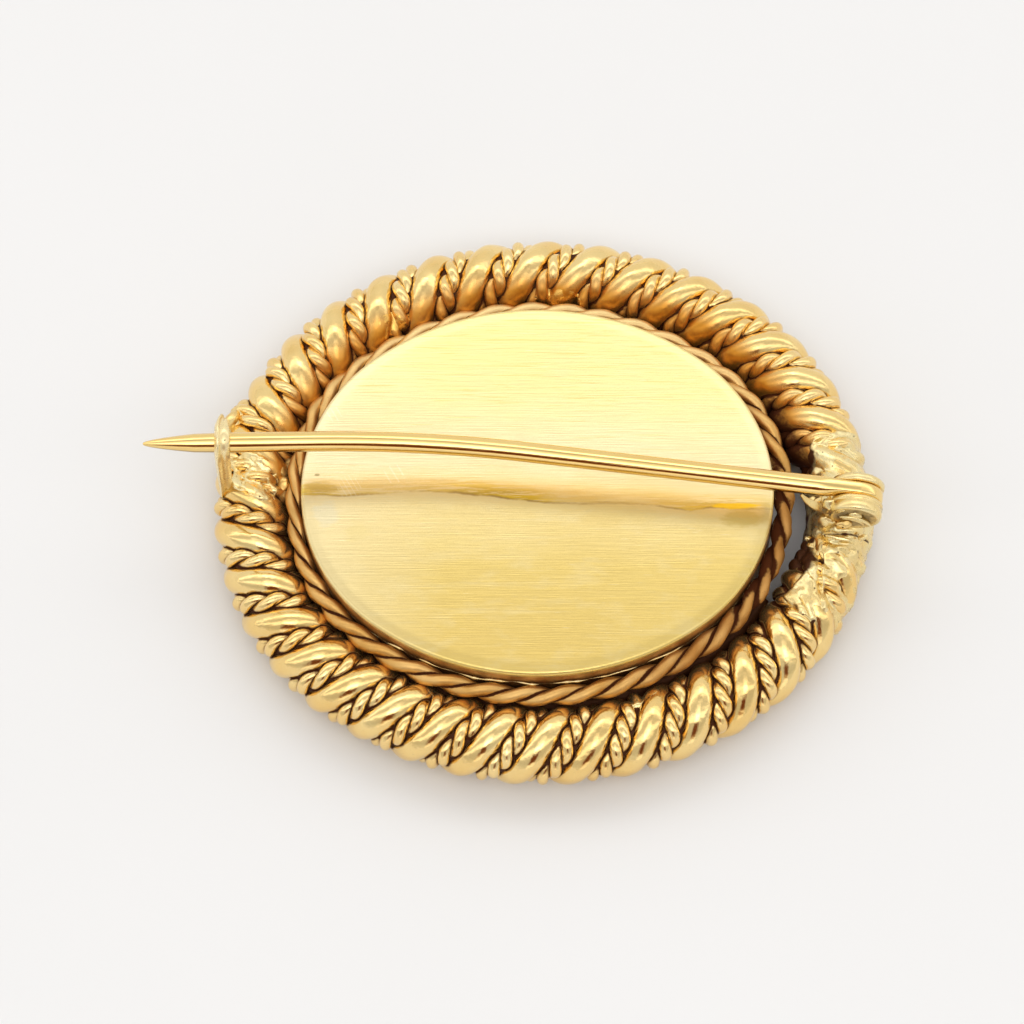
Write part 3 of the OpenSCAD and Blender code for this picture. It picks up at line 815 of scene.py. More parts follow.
# The stem's line in the hinge's own frame: x along the stem, y along the hinge's axis, z up
def from_hinge(points, rise=0.0):
    """Points of the hinge's frame in the frame of the ring, turned up about the hinge's axis by the rise."""
    x, y, z = axes(points)
    level = x * cosd(rise) + z * sind(rise)
    return stack(HINGE[0] + level * cosd(STEM_LEAN) + y * sind(STEM_LEAN),
                 HINGE[1] - level * sind(STEM_LEAN) + y * cosd(STEM_LEAN),
                 HINGE[2] + (-x * sind(rise) + z * cosd(rise)))


def left_point(beyond):
    """A point on the stem's straight part towards the tip, beyond the corner of its bend."""
    return np.array([-BEND_REACH - beyond * cosd(STEM_BEND), -beyond * sind(STEM_BEND), HINGE_DROP])


def beyond_corner(x):
    start, step = from_hinge(left_point(0.0), STEM_RISE), from_hinge(left_point(1.0), STEM_RISE)
    return (x - start[0]) / (step[0] - start[0])


TIP_BEYOND, CATCH_BEYOND = beyond_corner(-TIP_REACH), beyond_corner(-CATCH_REACH)
CATCH_POINT = from_hinge(left_point(CATCH_BEYOND), STEM_RISE)
BEND_TANGENT = BEND_RADIUS * math.tan(math.radians(STEM_BEND / 2))
STEM_SIDES, TAPER, BAND_RADIUS, BAND_HALF, BAND_END = 32, 2.9, 0.98, 0.5, 285


def rounded_section(half_high, half_wide, power, sides):
    """Closed outlines between an ellipse (power 2) and a rounded rectangle (power 4 and over)."""
    c, s = axes(circle(sides))
    share = 2 / power[:, None]
    return stack(half_high[:, None] * np.sign(c) * np.abs(c) ** share,
                 half_wide[:, None] * np.sign(s) * np.abs(s) ** share)


def stem_rows():
    """Rows of place, half height, half width, squareness and the direction of the height."""
    up = np.array([0.0, 0.0, 1.0])
    # the tip, then the straight part that thickens past the catch
    full_from = TIP_BEYOND - CATCH_BEYOND + STRIP_WIDTH / 2 + 0.35
    straight = np.linspace(TAPER, TIP_BEYOND - BEND_TANGENT, 50)[1:]
    for d in np.concatenate([TAPER * np.linspace(0, 1, 28) ** 1.6, straight]):
        radius = STEM_RADIUS * (0.92 + 0.08 * min(1.0, max(0.0, (d - TAPER) / (full_from - TAPER))))
        if d < TAPER:
            radius *= 0.10 + 0.90 * (d / TAPER) ** 0.62
        yield left_point(TIP_BEYOND - d), radius, radius, 2, up
    # the gentle bend, then straight up to the hinge
    centre = np.array([BEND_TANGENT - BEND_REACH, -BEND_RADIUS, HINGE_DROP])
    for a in np.linspace(STEM_BEND, 0, 40)[1:]:
        yield centre + BEND_RADIUS * np.array([-sind(a), cosd(a), 0]), STEM_RADIUS, STEM_RADIUS, 2, up
    for x in np.linspace(BEND_TANGENT - BEND_REACH, -2.3, 60)[1:]:
        yield np.array([x, 0, HINGE_DROP]), STEM_RADIUS, STEM_RADIUS, 2, up
    # flattened into a band, which curls over the top of the hinge and right round it
    for x in np.linspace(-2.2, 0, 14):
        share = smooth(-2.3, -1.0, x)
        yield (np.array([x, 0, HINGE_DROP + (BAND_RADIUS - HINGE_DROP) * share]),
               STEM_RADIUS + (BAND_HALF - STEM_RADIUS) * share,
               STEM_RADIUS + (EYE_WIDTH / 2 - STEM_RADIUS) * share, 2 + 2.2 * share, up)
    for a in np.linspace(0, BAND_END, 60)[1:]:
        out = np.array([sind(a), 0, cosd(a)])
        thin = 1 - 0.5 * smooth(225, BAND_END, a)
        yield out * (BAND_RADIUS + BAND_HALF * (1 - thin) * 0.5), BAND_HALF * thin, EYE_WIDTH / 2, 4.2, out


def pin_stem():
    path, high, wide, power, hints = (np.array(column) for column in zip(*stem_rows()))
    points = sweep(path, hints, rounded_section(high, wide, power, STEM_SIDES))
    length = np.concatenate([[0], np.cumsum(np.linalg.norm(np.diff(path, axis=0), axis=1))])
    rise = unit(points - path[:, None])[..., 2]
    # painted shade: a dark band along the lower side of the stem, away from the hinge
    facing_down = smooth(0.22, 0.02, rise) * smooth(-0.45, -0.20, rise) * smooth(-1.0, -2.3, path[:, :1])
    build = Build()
    build.add(from_hinge(points, STEM_RISE), capped_faces(len(path), STEM_SIDES), 0.6 * facing_down,
              flow_round(length, STEM_SIDES))
    build.piece("pin_stem", PIN, "pin", ["pin"])


pin_stem()


# Outlines, seen from above, of the solder under the hinge and the catch
FLOOD = [(15.78, 4.02), (15.31, 3.28), (15.0, 2.29), (14.6, 1.17), (14.4, -0.06), (14.4, -1.29), (14.4, -2.2),
         (14.4, -3.01), (14.5, -3.75), (14.6, -4.6), (14.03, -5.21), (13.68, -6.07), (14.34, -7.5),
         (16.2, -8.4), (18.8, -7.6), (20.3, -3.8), (20.6, 0.0), (20.0, 3.2), (18.6, 4.6), (16.93, 4.5)]
PAD = [(-18.1, 2.8), (-17.0, 3.0), (-16.1, 2.8), (-15.2, 2.5), (-14.7, 1.7), (-14.7, 0.6), (-15.2, -0.3),
       (-16.2, -0.5), (-17.3, 0.1), (-18.0, 0.7)]
# Solder that runs from the catch over the rope's outer side
SMEAR = [(-18.9, 3.2), (-18.75, 4.44), (-18.5, 5.3), (-17.9, 6.0), (-17.3, 6.3), (-17.0, 5.9), (-17.3, 5.2),
         (-17.5, 4.4), (-17.8, 3.2)]
# Mounds of the solder by the hinge: height, place and size
FLOOD_MOUNDS = [(1.2, 17.7, -1.0, 1.2), (0.75, 16.2, -1.6, 0.75), (0.45, 16.1, 0.9, 0.45),
                (0.30, 17.0, -2.9, 0.8), (0.30, 18.7, -2.6, 0.7), (0.50, 17.3, -2.4, 0.7)]
# Rows of the leaf from the lower knuckle down to the rope: x, y, z and half its width
LEAF = [(14.75, -0.15, 2.5, 0.10), (15.14, -0.71, 2.9, 0.22), (15.64, -1.18, 3.3, 0.27),
        (16.17, -1.72, 4.2, 0.28), (16.62, -2.02, 5.1, 0.26), (17.0, -2.08, 5.45, 0.2)]
# Lumps of solder: place, half sizes, dirt and lean; their dirt also paints shade, darkest on the deep lumps
# under the hinge
LUMPS_BY_CATCH = [(-15.0, 1.85, 1.2, 0.45, 0.55, 0.40, 0.72, 20),
                  (-14.8, 1.1, 1.15, 0.40, 0.55, 0.40, 0.62, -15), (-14.5, 2.3, 1.1, 0.3, 0.42, 0.35, 0.8, 0),
                  (-14.8, 0.35, 1.1, 0.35, 0.35, 0.35, 0.8, 0)]
LUMPS_BY_HINGE = [(16.30, -1.55, 4.35, 0.55, 0.42, 0.75, 0.0, 0),
                  (15.80, -0.75, 2.9, 0.42, 0.36, 0.5, 0.1, 0), (16.15, -0.80, 3.4, 0.36, 0.3, 0.4, 0.3, 30),
                  (15.35, -0.45, 2.4, 0.3, 0.25, 0.3, 0.2, 0), (15.85, -1.45, 1.9, 0.42, 0.45, 0.7, 0.85, 0),
                  (16.20, -1.75, 2.4, 0.6, 0.5, 0.9, 0.45, 0), (15.75, -2.15, 1.6, 0.4, 0.35, 0.6, 0.7, 20),
                  (15.2, -2.73, 0.8, 0.5, 0.5, 0.5, 1.25, 0), (14.85, -3.3, 0.8, 0.5, 0.5, 0.5, 1.3, 0),
                  (14.6, -3.9, 0.7, 0.6, 0.6, 0.5, 1.3, 0), (15.55, -2.95, 1.62, 0.55, 0.20, 0.25, 0.05, -12),
                  (15.10, -2.40, 1.5, 0.20, 0.17, 0.18, 0.1, 0),
                  (16.75, -2.75, 2.5, 0.75, 0.13, 0.14, 0.05, -12),
                  (17.2, -3.05, 2.35, 0.45, 0.12, 0.12, 0.1, -5), (18.2, -2.6, 2.2, 0.3, 0.16, 0.2, 0.0, 20)]
# Grooves, slits and pits in the solder: both ends, half width, depth and dirt
FLOOD_MARKS = [(16.0, -2.36, 17.0, -2.5, 0.08, 0.14, 1.0), (17.0, -2.5, 18.4, -2.32, 0.08, 0.14, 1.1),
               (15.87, 3.94, 16.89, 3.44, 0.10, 0.05, 0.15), (16.89, 3.44, 17.85, 2.7, 0.10, 0.06, 0.2),
               (16.55, 3.21, 16.60, 3.19, 0.16, 0.25, 1.3), (16.82, 2.76, 17.85, 2.51, 0.09, 0.05, 0.15),
               (16.75, 2.02, 17.49, 1.71, 0.10, 0.07, 0.2), (17.38, 1.76, 17.42, 1.73, 0.10, 0.15, 1.2),
               (15.89, 1.77, 16.23, 1.34, 0.06, 0.05, 0.35), (15.94, -3.6, 15.88, -6.8, 0.10, -0.13, 0.0),
               (15.76, -3.6, 15.72, -6.6, 0.09, 0.10, 0.3), (15.85, -3.6, 15.9, -4.1, 0.10, 0.15, 1.2),
               (16.71, -3.7, 17.71, -4.68, 0.13, 0.14, 0.6), (16.2, -3.7, 16.71, -3.7, 0.08, 0.05, 0.2),
               (17.14, -5.1, 17.42, -5.49, 0.20, 0.30, 1.4), (16.3, -5.65, 17.13, -6.16, 0.22, 0.16, 0.5),
               (16.11, -5.53, 17.35, -5.96, 0.07, 0.07, 0.3), (14.71, -6.32, 15.39, -7.9, 0.10, 0.14, 0.5),
               (15.39, -7.0, 16.2, -7.6, 0.33, 0.12, 0.42), (15.4, -7.62, 15.73, -7.98, 0.14, 0.25, 1.4),
               (18.55, -2.72, 18.6, -2.84, 0.10, 0.2, 0.9), (17.9, -3.1, 18.2, -3.4, 0.09, 0.12, 0.8),
               (16.4, -2.95, 17.5, -3.15, 0.10, 0.14, 0.6), (16.9, -3.35, 17.3, -3.5, 0.10, 0.10, 0.5)]
PAD_MARKS = [(-16.56, 1.54, -15.57, 0.66, 0.10, 0.12, 0.5), (-16.89, 0.76, -16.48, 0.15, 0.10, 0.12, 0.8),
             (-17.31, 2.43, -17.18, 1.19, 0.16, 0.16, 0.5), (-16.2, 2.47, -16.15, 2.44, 0.09, 0.12, 1.0),
             (-15.91, 1.58, -15.88, 1.55, 0.07, 0.10, 0.8), (-15.26, 1.9, -15.51, 1.35, 0.10, 0.12, 0.7),
             (-15.51, 1.35, -14.84, 0.78, 0.10, 0.10, 0.6), (-15.19, 1.21, -15.17, 1.19, 0.07, 0.10, 1.0),
             (-16.1, 1.0, -15.3, 0.3, 0.08, 0.06, 0.3), (-17.64, 1.75, -17.51, 0.64, 0.14, -0.12, 0.0)]
# Places where the seam inside the rope is open: x, y and reach
GAPS = [(-14.7, -1.9, 1.2), (-13.1, -5.9, 0.7), (-11.8, -7.4, 0.6), (-10.8, -8.5, 0.5), (-6.0, 11.9, 0.4),
        (-6.8, 11.7, 0.4), (12.6, 6.9, 0.6), (13.3, 5.7, 0.6), (11.9, 8.0, 0.5)]
# Lumps of solder on the rope's inner side: x, y, half their length and width, and how amber they are
LUMPS = [(-8.6, 10.9, 1.2, 0.9, 0.9), (1.0, 12.5, 1.6, 0.9, 0.95), (5.6, -11.9, 1.3, 0.7, 0.15),
         (-6.7, -11.3, 1.0, 0.7, 0.3)]
# Radii about the rope's centreline: where rays start from, what counts where they hit no wire, where noise
# and marks are read, the mean that sets the skin's sides, its least, its lowest level, and where dirt and
# painted shade start
LOOK_FROM, NOTHING_HIT, READ_AT, MEAN_RADIUS = 3.2, 0.8, 2.1, 2.2
LEAST_RADIUS, LOWEST_LEVEL, DIRT_AND_SHADE_BELOW = 0.6, 1.2, 1.9
# The skin of solder: its gauge, and how far it lies over the wires inside its outline and under them outside
SKIN_GAUGE, OVER_WIRES, UNDER_WIRES = 0.35, 0.015, 0.45


def rope_skin_tree():
    """All the rope's wires as one surface that rays can hit."""
    polygons, first = [], 0
    for points, faces in rope_skins:
        polygons += shifted(faces, first)
        first += len(points)
    return BVHTree.FromPolygons([Vector(p) for points, _ in rope_skins for p in points], polygons)


SKIN_TREE = rope_skin_tree()


def rope_surface(share, around):
    """Distance of the wires' outer side from the rope's centreline, and the directions looked along."""
    angle = normal_angle(share)
    centre = stack(*axes(oval_point(angle, 0.0)), 0)
    direction = stack(cosd(around) * cosd(angle), cosd(around) * sind(angle), sind(around))
    radius = np.zeros(share.shape)
    for index in np.ndindex(share.shape):
        start = Vector(centre[index] + LOOK_FROM * direction[index])
        hit, _, _, distance = SKIN_TREE.ray_cast(start, Vector(-direction[index]), LOOK_FROM)
        radius[index] = LOOK_FROM - distance if hit is not None else NOTHING_HIT
    return centre, direction, radius


def soft_max(a, b, softness):
    share = np.clip(0.5 + 0.5 * (a - b) / softness, 0, 1)
    return b + (a - b) * share + softness * share * (1 - share)


def off_line(plan, a, b):
    """Distance of the points from the line between two places, seen from above."""
    side = b - a
    share = np.clip(((plan - a) @ side) / (side @ side), 0, 1)
    return np.linalg.norm(plan - a - share[..., None] * side, axis=-1)


def inside_outline(plan, outline):
    """Distance inside a closed outline in the plan, negative outside it."""
    x, y = axes(plan)
    corners = np.array(outline, dtype=float)
    nearest = np.full(x.shape, np.inf)
    odd = np.zeros(x.shape, dtype=bool)
    for a, b in zip(corners, np.roll(corners, -1, 0)):
        nearest = np.minimum(nearest, off_line(plan, a, b))
        if a[1] != b[1]:
            odd ^= ((a[1] > y) != (b[1] > y)) & (x < a[0] + (y - a[1]) * (b[0] - a[0]) / (b[1] - a[1]))
    return np.where(odd, nearest, -nearest)


def cut_marks(plan, marks):
    """How deep grooves, slits and pits lie at the points, and how dark they are."""
    drop, dirt = np.zeros(plan.shape[:-1]), np.zeros(plan.shape[:-1])
    for x1, y1, x2, y2, half, low, dark in marks:
        inside = np.exp(-(off_line(plan, np.array([x1, y1]), np.array([x2, y2])) / half) ** 2)
        drop += low * inside
        dirt += dark * inside
    return drop, dirt


def solder(build, along_range, around_range, outline, level_of, step=0.10, softness=0.22, ragged=0.35, seed=5,
           grime_and_shade_of=lambda points: 0.0, marks=(), relief_of=lambda plan: 1.0, tint=0.0):
    """Adds a closed skin of solder on the rope inside an outline, filled to the level of level_of."""
    rings = int((along_range[1] - along_range[0]) / step)
    sides = int(math.radians(around_range[1] - around_range[0]) * MEAN_RADIUS / step)
    along, around = np.linspace(*along_range, rings), np.linspace(*around_range, sides)
    centre, direction, wires = rope_surface(*np.meshgrid(along / ROPE_LENGTH, around, indexing="ij"))
    rough = centre + READ_AT * direction
    plan = bumped(rough)
    cover = inside_outline(plan[..., :2], outline) + ragged * field(rough, 0.9, seed + 2)
    cover = smooth(-0.25, 0.35, cover)
    level = LOWEST_LEVEL + (level_of(plan) - LOWEST_LEVEL) * cover
    filled = soft_max(level, wires - UNDER_WIRES * (1 - cover) + OVER_WIRES, softness)
    lumps = field(rough, 2.3, seed)
    seams = np.exp(-(field(rough, 1.3, seed + 4) / 0.07) ** 2)
    seams = seams * smooth(-0.1, 0.4, field(rough, 0.5, seed + 6))
    drop, stain = cut_marks(plan[..., :2], marks)
    relief = relief_of(plan)
    facets = np.abs(field(rough, 0.8, seed + 8)) + 0.4 * np.abs(field(rough, 1.7, seed + 9))
    filled = filled + relief * (0.045 * lumps + 0.2 * (facets - 0.3) * cover)
    filled = filled - (0.05 * relief * seams + drop) * cover
    shown = np.clip(filled, LEAST_RADIUS, None)
    outer = bumped(centre + shown[..., None] * direction)
    inner = bumped(centre + (shown - SKIN_GAUGE)[..., None] * direction)
    # the outer and the inner skin, and the rim between them
    count = rings * sides
    faces = grid_faces(rings, sides, False, False)
    faces += shifted(faces, count)
    edge = ([i * sides for i in range(rings)] + [(rings - 1) * sides + j for j in range(1, sides)]
            + [i * sides + sides - 1 for i in range(rings - 2, -1, -1)] + list(range(sides - 2, 0, -1)))
    faces += [[a, b, b + count, a + count] for a, b in zip(edge, edge[1:] + edge[:1])]
    # dirt and painted shade: darker where the skin lies deep among the wires, outside its outline, in its
    # seams and in its marks
    depth = np.clip(DIRT_AND_SHADE_BELOW - shown - drop * cover, 0, 1) * 1.3 + 0.4 * (1 - cover)
    depth = depth + (0.3 * seams + stain) * cover + grime_and_shade_of(outer)
    build.add(np.stack([outer, inner]), faces, depth, tint=tint)


def ring_rows(build, rows, sides=72, dirt=0.0):
    """A closed ring about the hinge's axis from (radius, place along the axis) rows."""
    angle = shares(sides)[:, None] * 360
    radius, y = axes(np.array(rows))
    points = uneven(stack(cosd(angle) * radius, y, sind(angle) * radius), 0.02, 1.8, 9)
    build.add(from_hinge(points), grid_faces(sides, len(rows)), dirt)


def blob(build, centre, sizes, seed, dirt=0.0, lean=0.0, rough=0.25, tint=0.0):
    """A small rounded lump with an uneven skin."""
    rows, sides = 14, 24
    down = np.radians(np.linspace(4, 176, rows))[:, None]
    around = shares(sides) * 2 * math.pi
    points = stack(np.sin(down) * np.cos(around), np.sin(down) * np.sin(around), np.cos(down))
    x, y, z = axes(points * (1 + rough * field(points, 1.3, seed))[..., None] * np.array(sizes))
    c, s = cosd(lean), sind(lean)
    turned = stack(x * c - y * s, x * s + y * c, z) + np.array(centre)
    build.add(turned, capped_faces(rows, sides), dirt, tint=tint)


def leaf(build, half_gauge=0.1, squareness=3.2, facing=(0.0, -0.45, 1.0), sides=20):
    """A strap through the rows of the leaf, smoothed between them."""
    steps, rounds = 10, 12
    t = np.linspace(0, len(LEAF) - 1, steps * (len(LEAF) - 1) + 1)
    line = stack(*(np.interp(t, np.arange(len(LEAF)), column) for column in zip(*LEAF)))
    for _ in range(rounds):
        line[1:-1] = (line[:-2] + 2 * line[1:-1] + line[2:]) / 4
    count = len(line)
    section = rounded_section(np.full(count, half_gauge), line[:, 3], np.full(count, squareness), sides)
    points = sweep(line[:, :3], np.tile(facing, (count, 1)), section)
    build.add(uneven(points, 0.02, 2.0, 3), capped_faces(count, sides))


def knuckles(build):
    """The two rings that the pin's eye turns between, and what is bent and soldered over them."""
    play, knuckle = 0.035, KNUCKLE_RADIUS
    eye = EYE_WIDTH / 2 + play
    high = eye + UPPER_KNUCKLE + 0.02
    ring_rows(build, [(RIVET_RADIUS + 0.03, eye + 0.03), (RIVET_RADIUS + 0.06, eye), (knuckle - 0.05, eye),
                      (knuckle, eye + 0.05), (knuckle + 0.01, (eye + high) / 2), (knuckle - 0.01, high - 0.1),
                      (knuckle - 0.12, high), (RIVET_RADIUS + 0.06, high),
                      (RIVET_RADIUS + 0.03, high - 0.03)])
    # the lower knuckle: a rolled band with a seam along it, its end face a little sunk and darkened as
    # painted shade
    dull = np.array([0, 0, 0, 0, 0, 0, 0, 0, 0.05, 0.4, 0.68, 0.78, 0.8, 0.6])
    ring_rows(build, [(0.50, -eye - 0.03), (0.53, -eye), (knuckle - 0.05, -eye), (knuckle, -eye - 0.05),
                      (knuckle + 0.01, -0.68), (knuckle - 0.045, -0.73), (knuckle + 0.005, -0.78),
                      (knuckle, -1.18), (knuckle - 0.05, -1.31), (knuckle - 0.18, -1.38), (1.2, -1.33),
                      (1.0, -1.28), (0.6, -1.26), (0.50, -1.05)], 80, dull)
    # a strap's end bent over it, in two layers, and a plug of solder, both askew
    count, centre_x, centre_z = 30, -0.35, -1.2
    turn = np.linspace(8, 114, count)
    thick = 0.15 * np.sin(np.linspace(0.15, math.pi - 0.15, count)) ** 0.6
    for y, reach, size, sides, dirt in ((-1.36, 1.3, 1.0, 12, 0.05), (-1.32, 0.92, 0.55, 10, 0.2)):
        strap = from_hinge(stack(centre_x + reach * cosd(turn), y, centre_z + reach * sind(turn)))
        outward = strap - from_hinge((centre_x, y, centre_z))
        build.add(tube(strap, outward, size * thick, sides, False), capped_faces(count, sides), dirt)
    blob(build, from_hinge((-0.62, -1.45, -0.85)), (0.50, 0.30, 0.46), 4, 0.15, 10, tint=0.35)
    blob(build, from_hinge((-0.62, -1.70, -0.66)), (0.06, 0.06, 0.08), 4, 1.2)


def flood_level(plan):
    """The level of the solder over the strands by the hinge, with the mound under the knuckles."""
    x, y, _ = axes(plan)
    level = 1.80 + 0.20 * smooth(-1.0, 1.0, y) + 0.07 * field(plan, 0.7, 13) + 0.35 * smooth(15.9, 15.2, x)
    level = level - 0.6 * bump_at(plan, 15.1, 2.3, 0.65) + 0.16 * smooth(-2.5, -3.5, y)
    return level + sum(high * bump_at(plan, *place) for high, *place in FLOOD_MOUNDS)


def flood_grime_and_shade(points):
    """Dirt and painted shade on that solder: along its inner side, in the crevice under the hinge, in the
    pocket under the sheet's rim and between its lumps.
    """
    x, y, _ = axes(points)
    inner = smooth(15.75, 15.0, x + 0.12 * field(points, 1.6, 41)) * smooth(-5.0, -4.4, y)
    crevice = smooth(-2.8, -3.3, y) * smooth(-4.8, -4.2, y) * smooth(16.3, 15.9, x)
    lumps = 0.45 * smooth(0.15, 0.6, field(points, 1.7, 42)) * smooth(16.9, 15.8, x) * smooth(-5.0, -4.0, y)
    return 0.9 * inner + lumps + 0.3 * crevice + 0.75 * bump_at(points, 15.15, 2.3, 0.75)


def hinge_fitting():
    build = Build()
    knuckles(build)
    for x, y, z, long, wide, high, dirt, lean in LUMPS_BY_HINGE:
        blob(build, (x, y, z), (long, wide, high), int(10 * (x + y) % 17), dirt, lean)
    leaf(build)
    solder(build, (-9.2, 5.4), (-35, 205), FLOOD, flood_level, 0.07, grime_and_shade_of=flood_grime_and_shade, marks=FLOOD_MARKS,
           relief_of=lambda plan: 0.25 + 0.9 * smooth(0.0, -2.5, plan[..., 1]))
    build.piece("hinge_fitting", SOLDER, "brooch", ["hinge_lugs"])


def rivet():
    """The hinge's pin, its ends hammered into low domes."""
    low, high, sides = -1.34, EYE_WIDTH / 2 + KNUCKLE_GAP + UPPER_KNUCKLE + 0.06, 40
    rows = [(0.12, low - 0.05), (0.28, low - 0.03), (0.40, low + 0.04), (0.44, low + 0.14),
            (RIVET_RADIUS, low + 0.3), (RIVET_RADIUS, high - 0.14), (0.42, high - 0.06), (0.3, high),
            (0.12, high + 0.02)]
    radius, y = axes(np.array(rows)[:, None])
    angle = shares(sides) * 360
    points = stack(radius * cosd(angle), y, radius * sind(angle))
    points = uneven(points, 0.03, 3.0, 31, np.array([0.3, 1, 0.3]))
    build = Build()
    build.add(from_hinge(points), capped_faces(len(rows), sides))
    build.piece("hinge_pin", SOLDER, "brooch", ["hinge_rivet"])


hinge_fitting()
rivet()
HOOK_LINE = HOOK_RADIUS + STRIP_THICKNESS / 2
HOOK_Y, HOOK_Z = CATCH_POINT[1] + HOOK_OFFSET, CATCH_POINT[2]


def catch_strip(build, bow=0.10, squareness=3.0, sides=32):
    """The strip that rises from the rope, bowed a little, and curls into the hook."""
    rise = np.linspace(0, 1, 26)[:, None]
    foot = np.array([-CATCH_REACH, ROOT_Y + ROOT_THICKNESS / 2, 0.9])
    top = np.array([-CATCH_REACH, HOOK_Y - HOOK_LINE, HOOK_Z - 0.1])
    a = np.linspace(180, HOOK_END, 40)
    path = np.concatenate([foot + (top - foot) * rise + bow * np.sin(math.pi * rise) * np.array([0, 1, 0]),
                           stack(-CATCH_REACH, HOOK_Y + HOOK_LINE * cosd(a), HOOK_Z + HOOK_LINE * sind(a))])
    hints = np.concatenate([np.tile([0.0, -1.0, 0.0], (len(rise), 1)), stack(0.0, cosd(a), sind(a))])
    count = len(path)
    t = np.linspace(0, 1, count)
    path[:, 0] += 0.16 * smooth(0.72, 1.0, t)
    half = STRIP_WIDTH / 2 * (0.86 + 0.16 * smooth(0.0, 0.3, t)) * (1 - 0.60 * smooth(0.70, 1.0, t))
    thick = STRIP_THICKNESS / 2 * (1 + 0.25 * smooth(0.25, 0.0, t)) * (1 - 0.25 * smooth(0.85, 1.0, t))
    section = rounded_section(thick, half, np.full(count, squareness), sides)
    # a ridge runs along the strip's right edge, a groove beside it, and its left side falls away
    right = -section[..., 1] / half[:, None]
    outer = section[..., 0] > 0
    ridge = 0.26 * np.exp(-((right - 0.55) / 0.26) ** 2) - 0.12 * np.exp(-((right - 0.02) / 0.2) ** 2)
    section[..., 0] += np.where(outer, ridge - 0.14 * np.clip(-right - 0.2, 0, 1), 0)
    # painted shade: the groove beside the ridge and the strip's left side tinted darker amber
    groove = np.where(outer, 0.8 * np.exp(-((right - 0.12) / 0.15) ** 2) + 0.25 * smooth(0.0, -0.8, right), 0)
    groove = groove * (0.25 + 0.75 * smooth(0.80, 0.40, t)[:, None])
    build.add(uneven(sweep(path, hints, section), 0.025, 1.5, 21), capped_faces(count, sides),
              -0.6 + 0.6 * smooth(0.10, 0.0, t)[:, None] + 0.5 * groove, tint=0.35 * groove)


def catch_dimple(build, spot=118.0, count=24, sides=8):
    """A small round dimple with a raised edge on the strip's outer side."""
    sunk, off_middle, half_wide, half_long, edge_radius = 0.02, 0.2, 0.13, 0.15, 0.035
    turn = shares(count) * 360
    reach = HOOK_LINE + STRIP_THICKNESS / 2 - sunk
    tilt = spot + np.degrees(half_long * sind(turn) / reach)
    edge = stack(-CATCH_REACH - off_middle + half_wide * cosd(turn), HOOK_Y + reach * cosd(tilt),
                 HOOK_Z + reach * sind(tilt))
    outward = np.tile([0.0, cosd(spot), sind(spot)], (count, 1))
    build.add(tube(edge, outward, edge_radius, sides), grid_faces(count, sides))


def catch_fitting():
    build = Build()
    catch_strip(build)
    catch_dimple(build)
    middle = ROPE_LENGTH / 2 - 1.0
    solder(build, (middle - 4.6, middle + 3.8), (-20, 175), PAD,
           lambda plan: 1.98 + 0.10 * field(plan, 1.1, 18) + 0.30 * bump_at(plan, -17.8, 0.7, 0.6), 0.075,
           ragged=0.3, seed=8, marks=PAD_MARKS,
           grime_and_shade_of=lambda points: 0.55 * smooth(-15.5, -15.1, points[..., 0] + 0.2 * field(points, 1.4, 19)))
    solder(build, (middle - 6.6, middle - 1.0), (-50, 110), SMEAR,
           lambda plan: 2.16 + 0.04 * field(plan, 0.9, 20), 0.10, softness=0.3, ragged=0.2, seed=14)
    blob(build, (-17.08, 0.79, 2.12), (0.13, 0.11, 0.10), 6)
    for x, y, z, long, wide, high, dirt, lean in LUMPS_BY_CATCH:
        blob(build, (x, y, z), (long, wide, high), int(10 * (x - y) % 17), dirt, lean, tint=0.7)
    blob(build, (-17.98, 4.72, 1.25), (1.0, 0.42, 0.75), 3, 0.0, 56, 0.1, 0.2)
    build.piece("catch_fitting", SOLDER, "brooch", ["catch"])


catch_fitting()
SEAM_RINGS, SEAM_SIDES, EDGE_SIDES = 720, 10, 6
CORE_RADIUS, CORE_SIDES, FULL_DIRT_AND_SHADE = 1.70, 28, 1.3


def solder_lump(build, index, x, y, long, wide, amber):
    """An oval lump of solder on the rope, along the rope's own line."""
    share = shares(SEAM_RINGS)
    nearest = np.argmin(np.linalg.norm(oval_point(normal_angle(share), 0.0) - [x, y], axis=-1))
    along, slope = share[nearest] * ROPE_LENGTH, normal_angle(share[nearest:nearest + 1])[0]
    turn = shares(16) * 360
    outline = (np.array([x, y]) + long * cosd(turn)[:, None] * np.array([-sind(slope), cosd(slope)])
               + wide * sind(turn)[:, None] * np.array([cosd(slope), sind(slope)]))
    solder(build, (along - long - 0.8, along + long + 0.8), (60, 185), outline,
           lambda plan: 1.85 + 0.15 * field(plan, 1.5, 90 + index), 0.1, seed=91 + index,
           grime_and_shade_of=lambda points: 0.1, relief_of=lambda plan: 0.5, tint=amber)


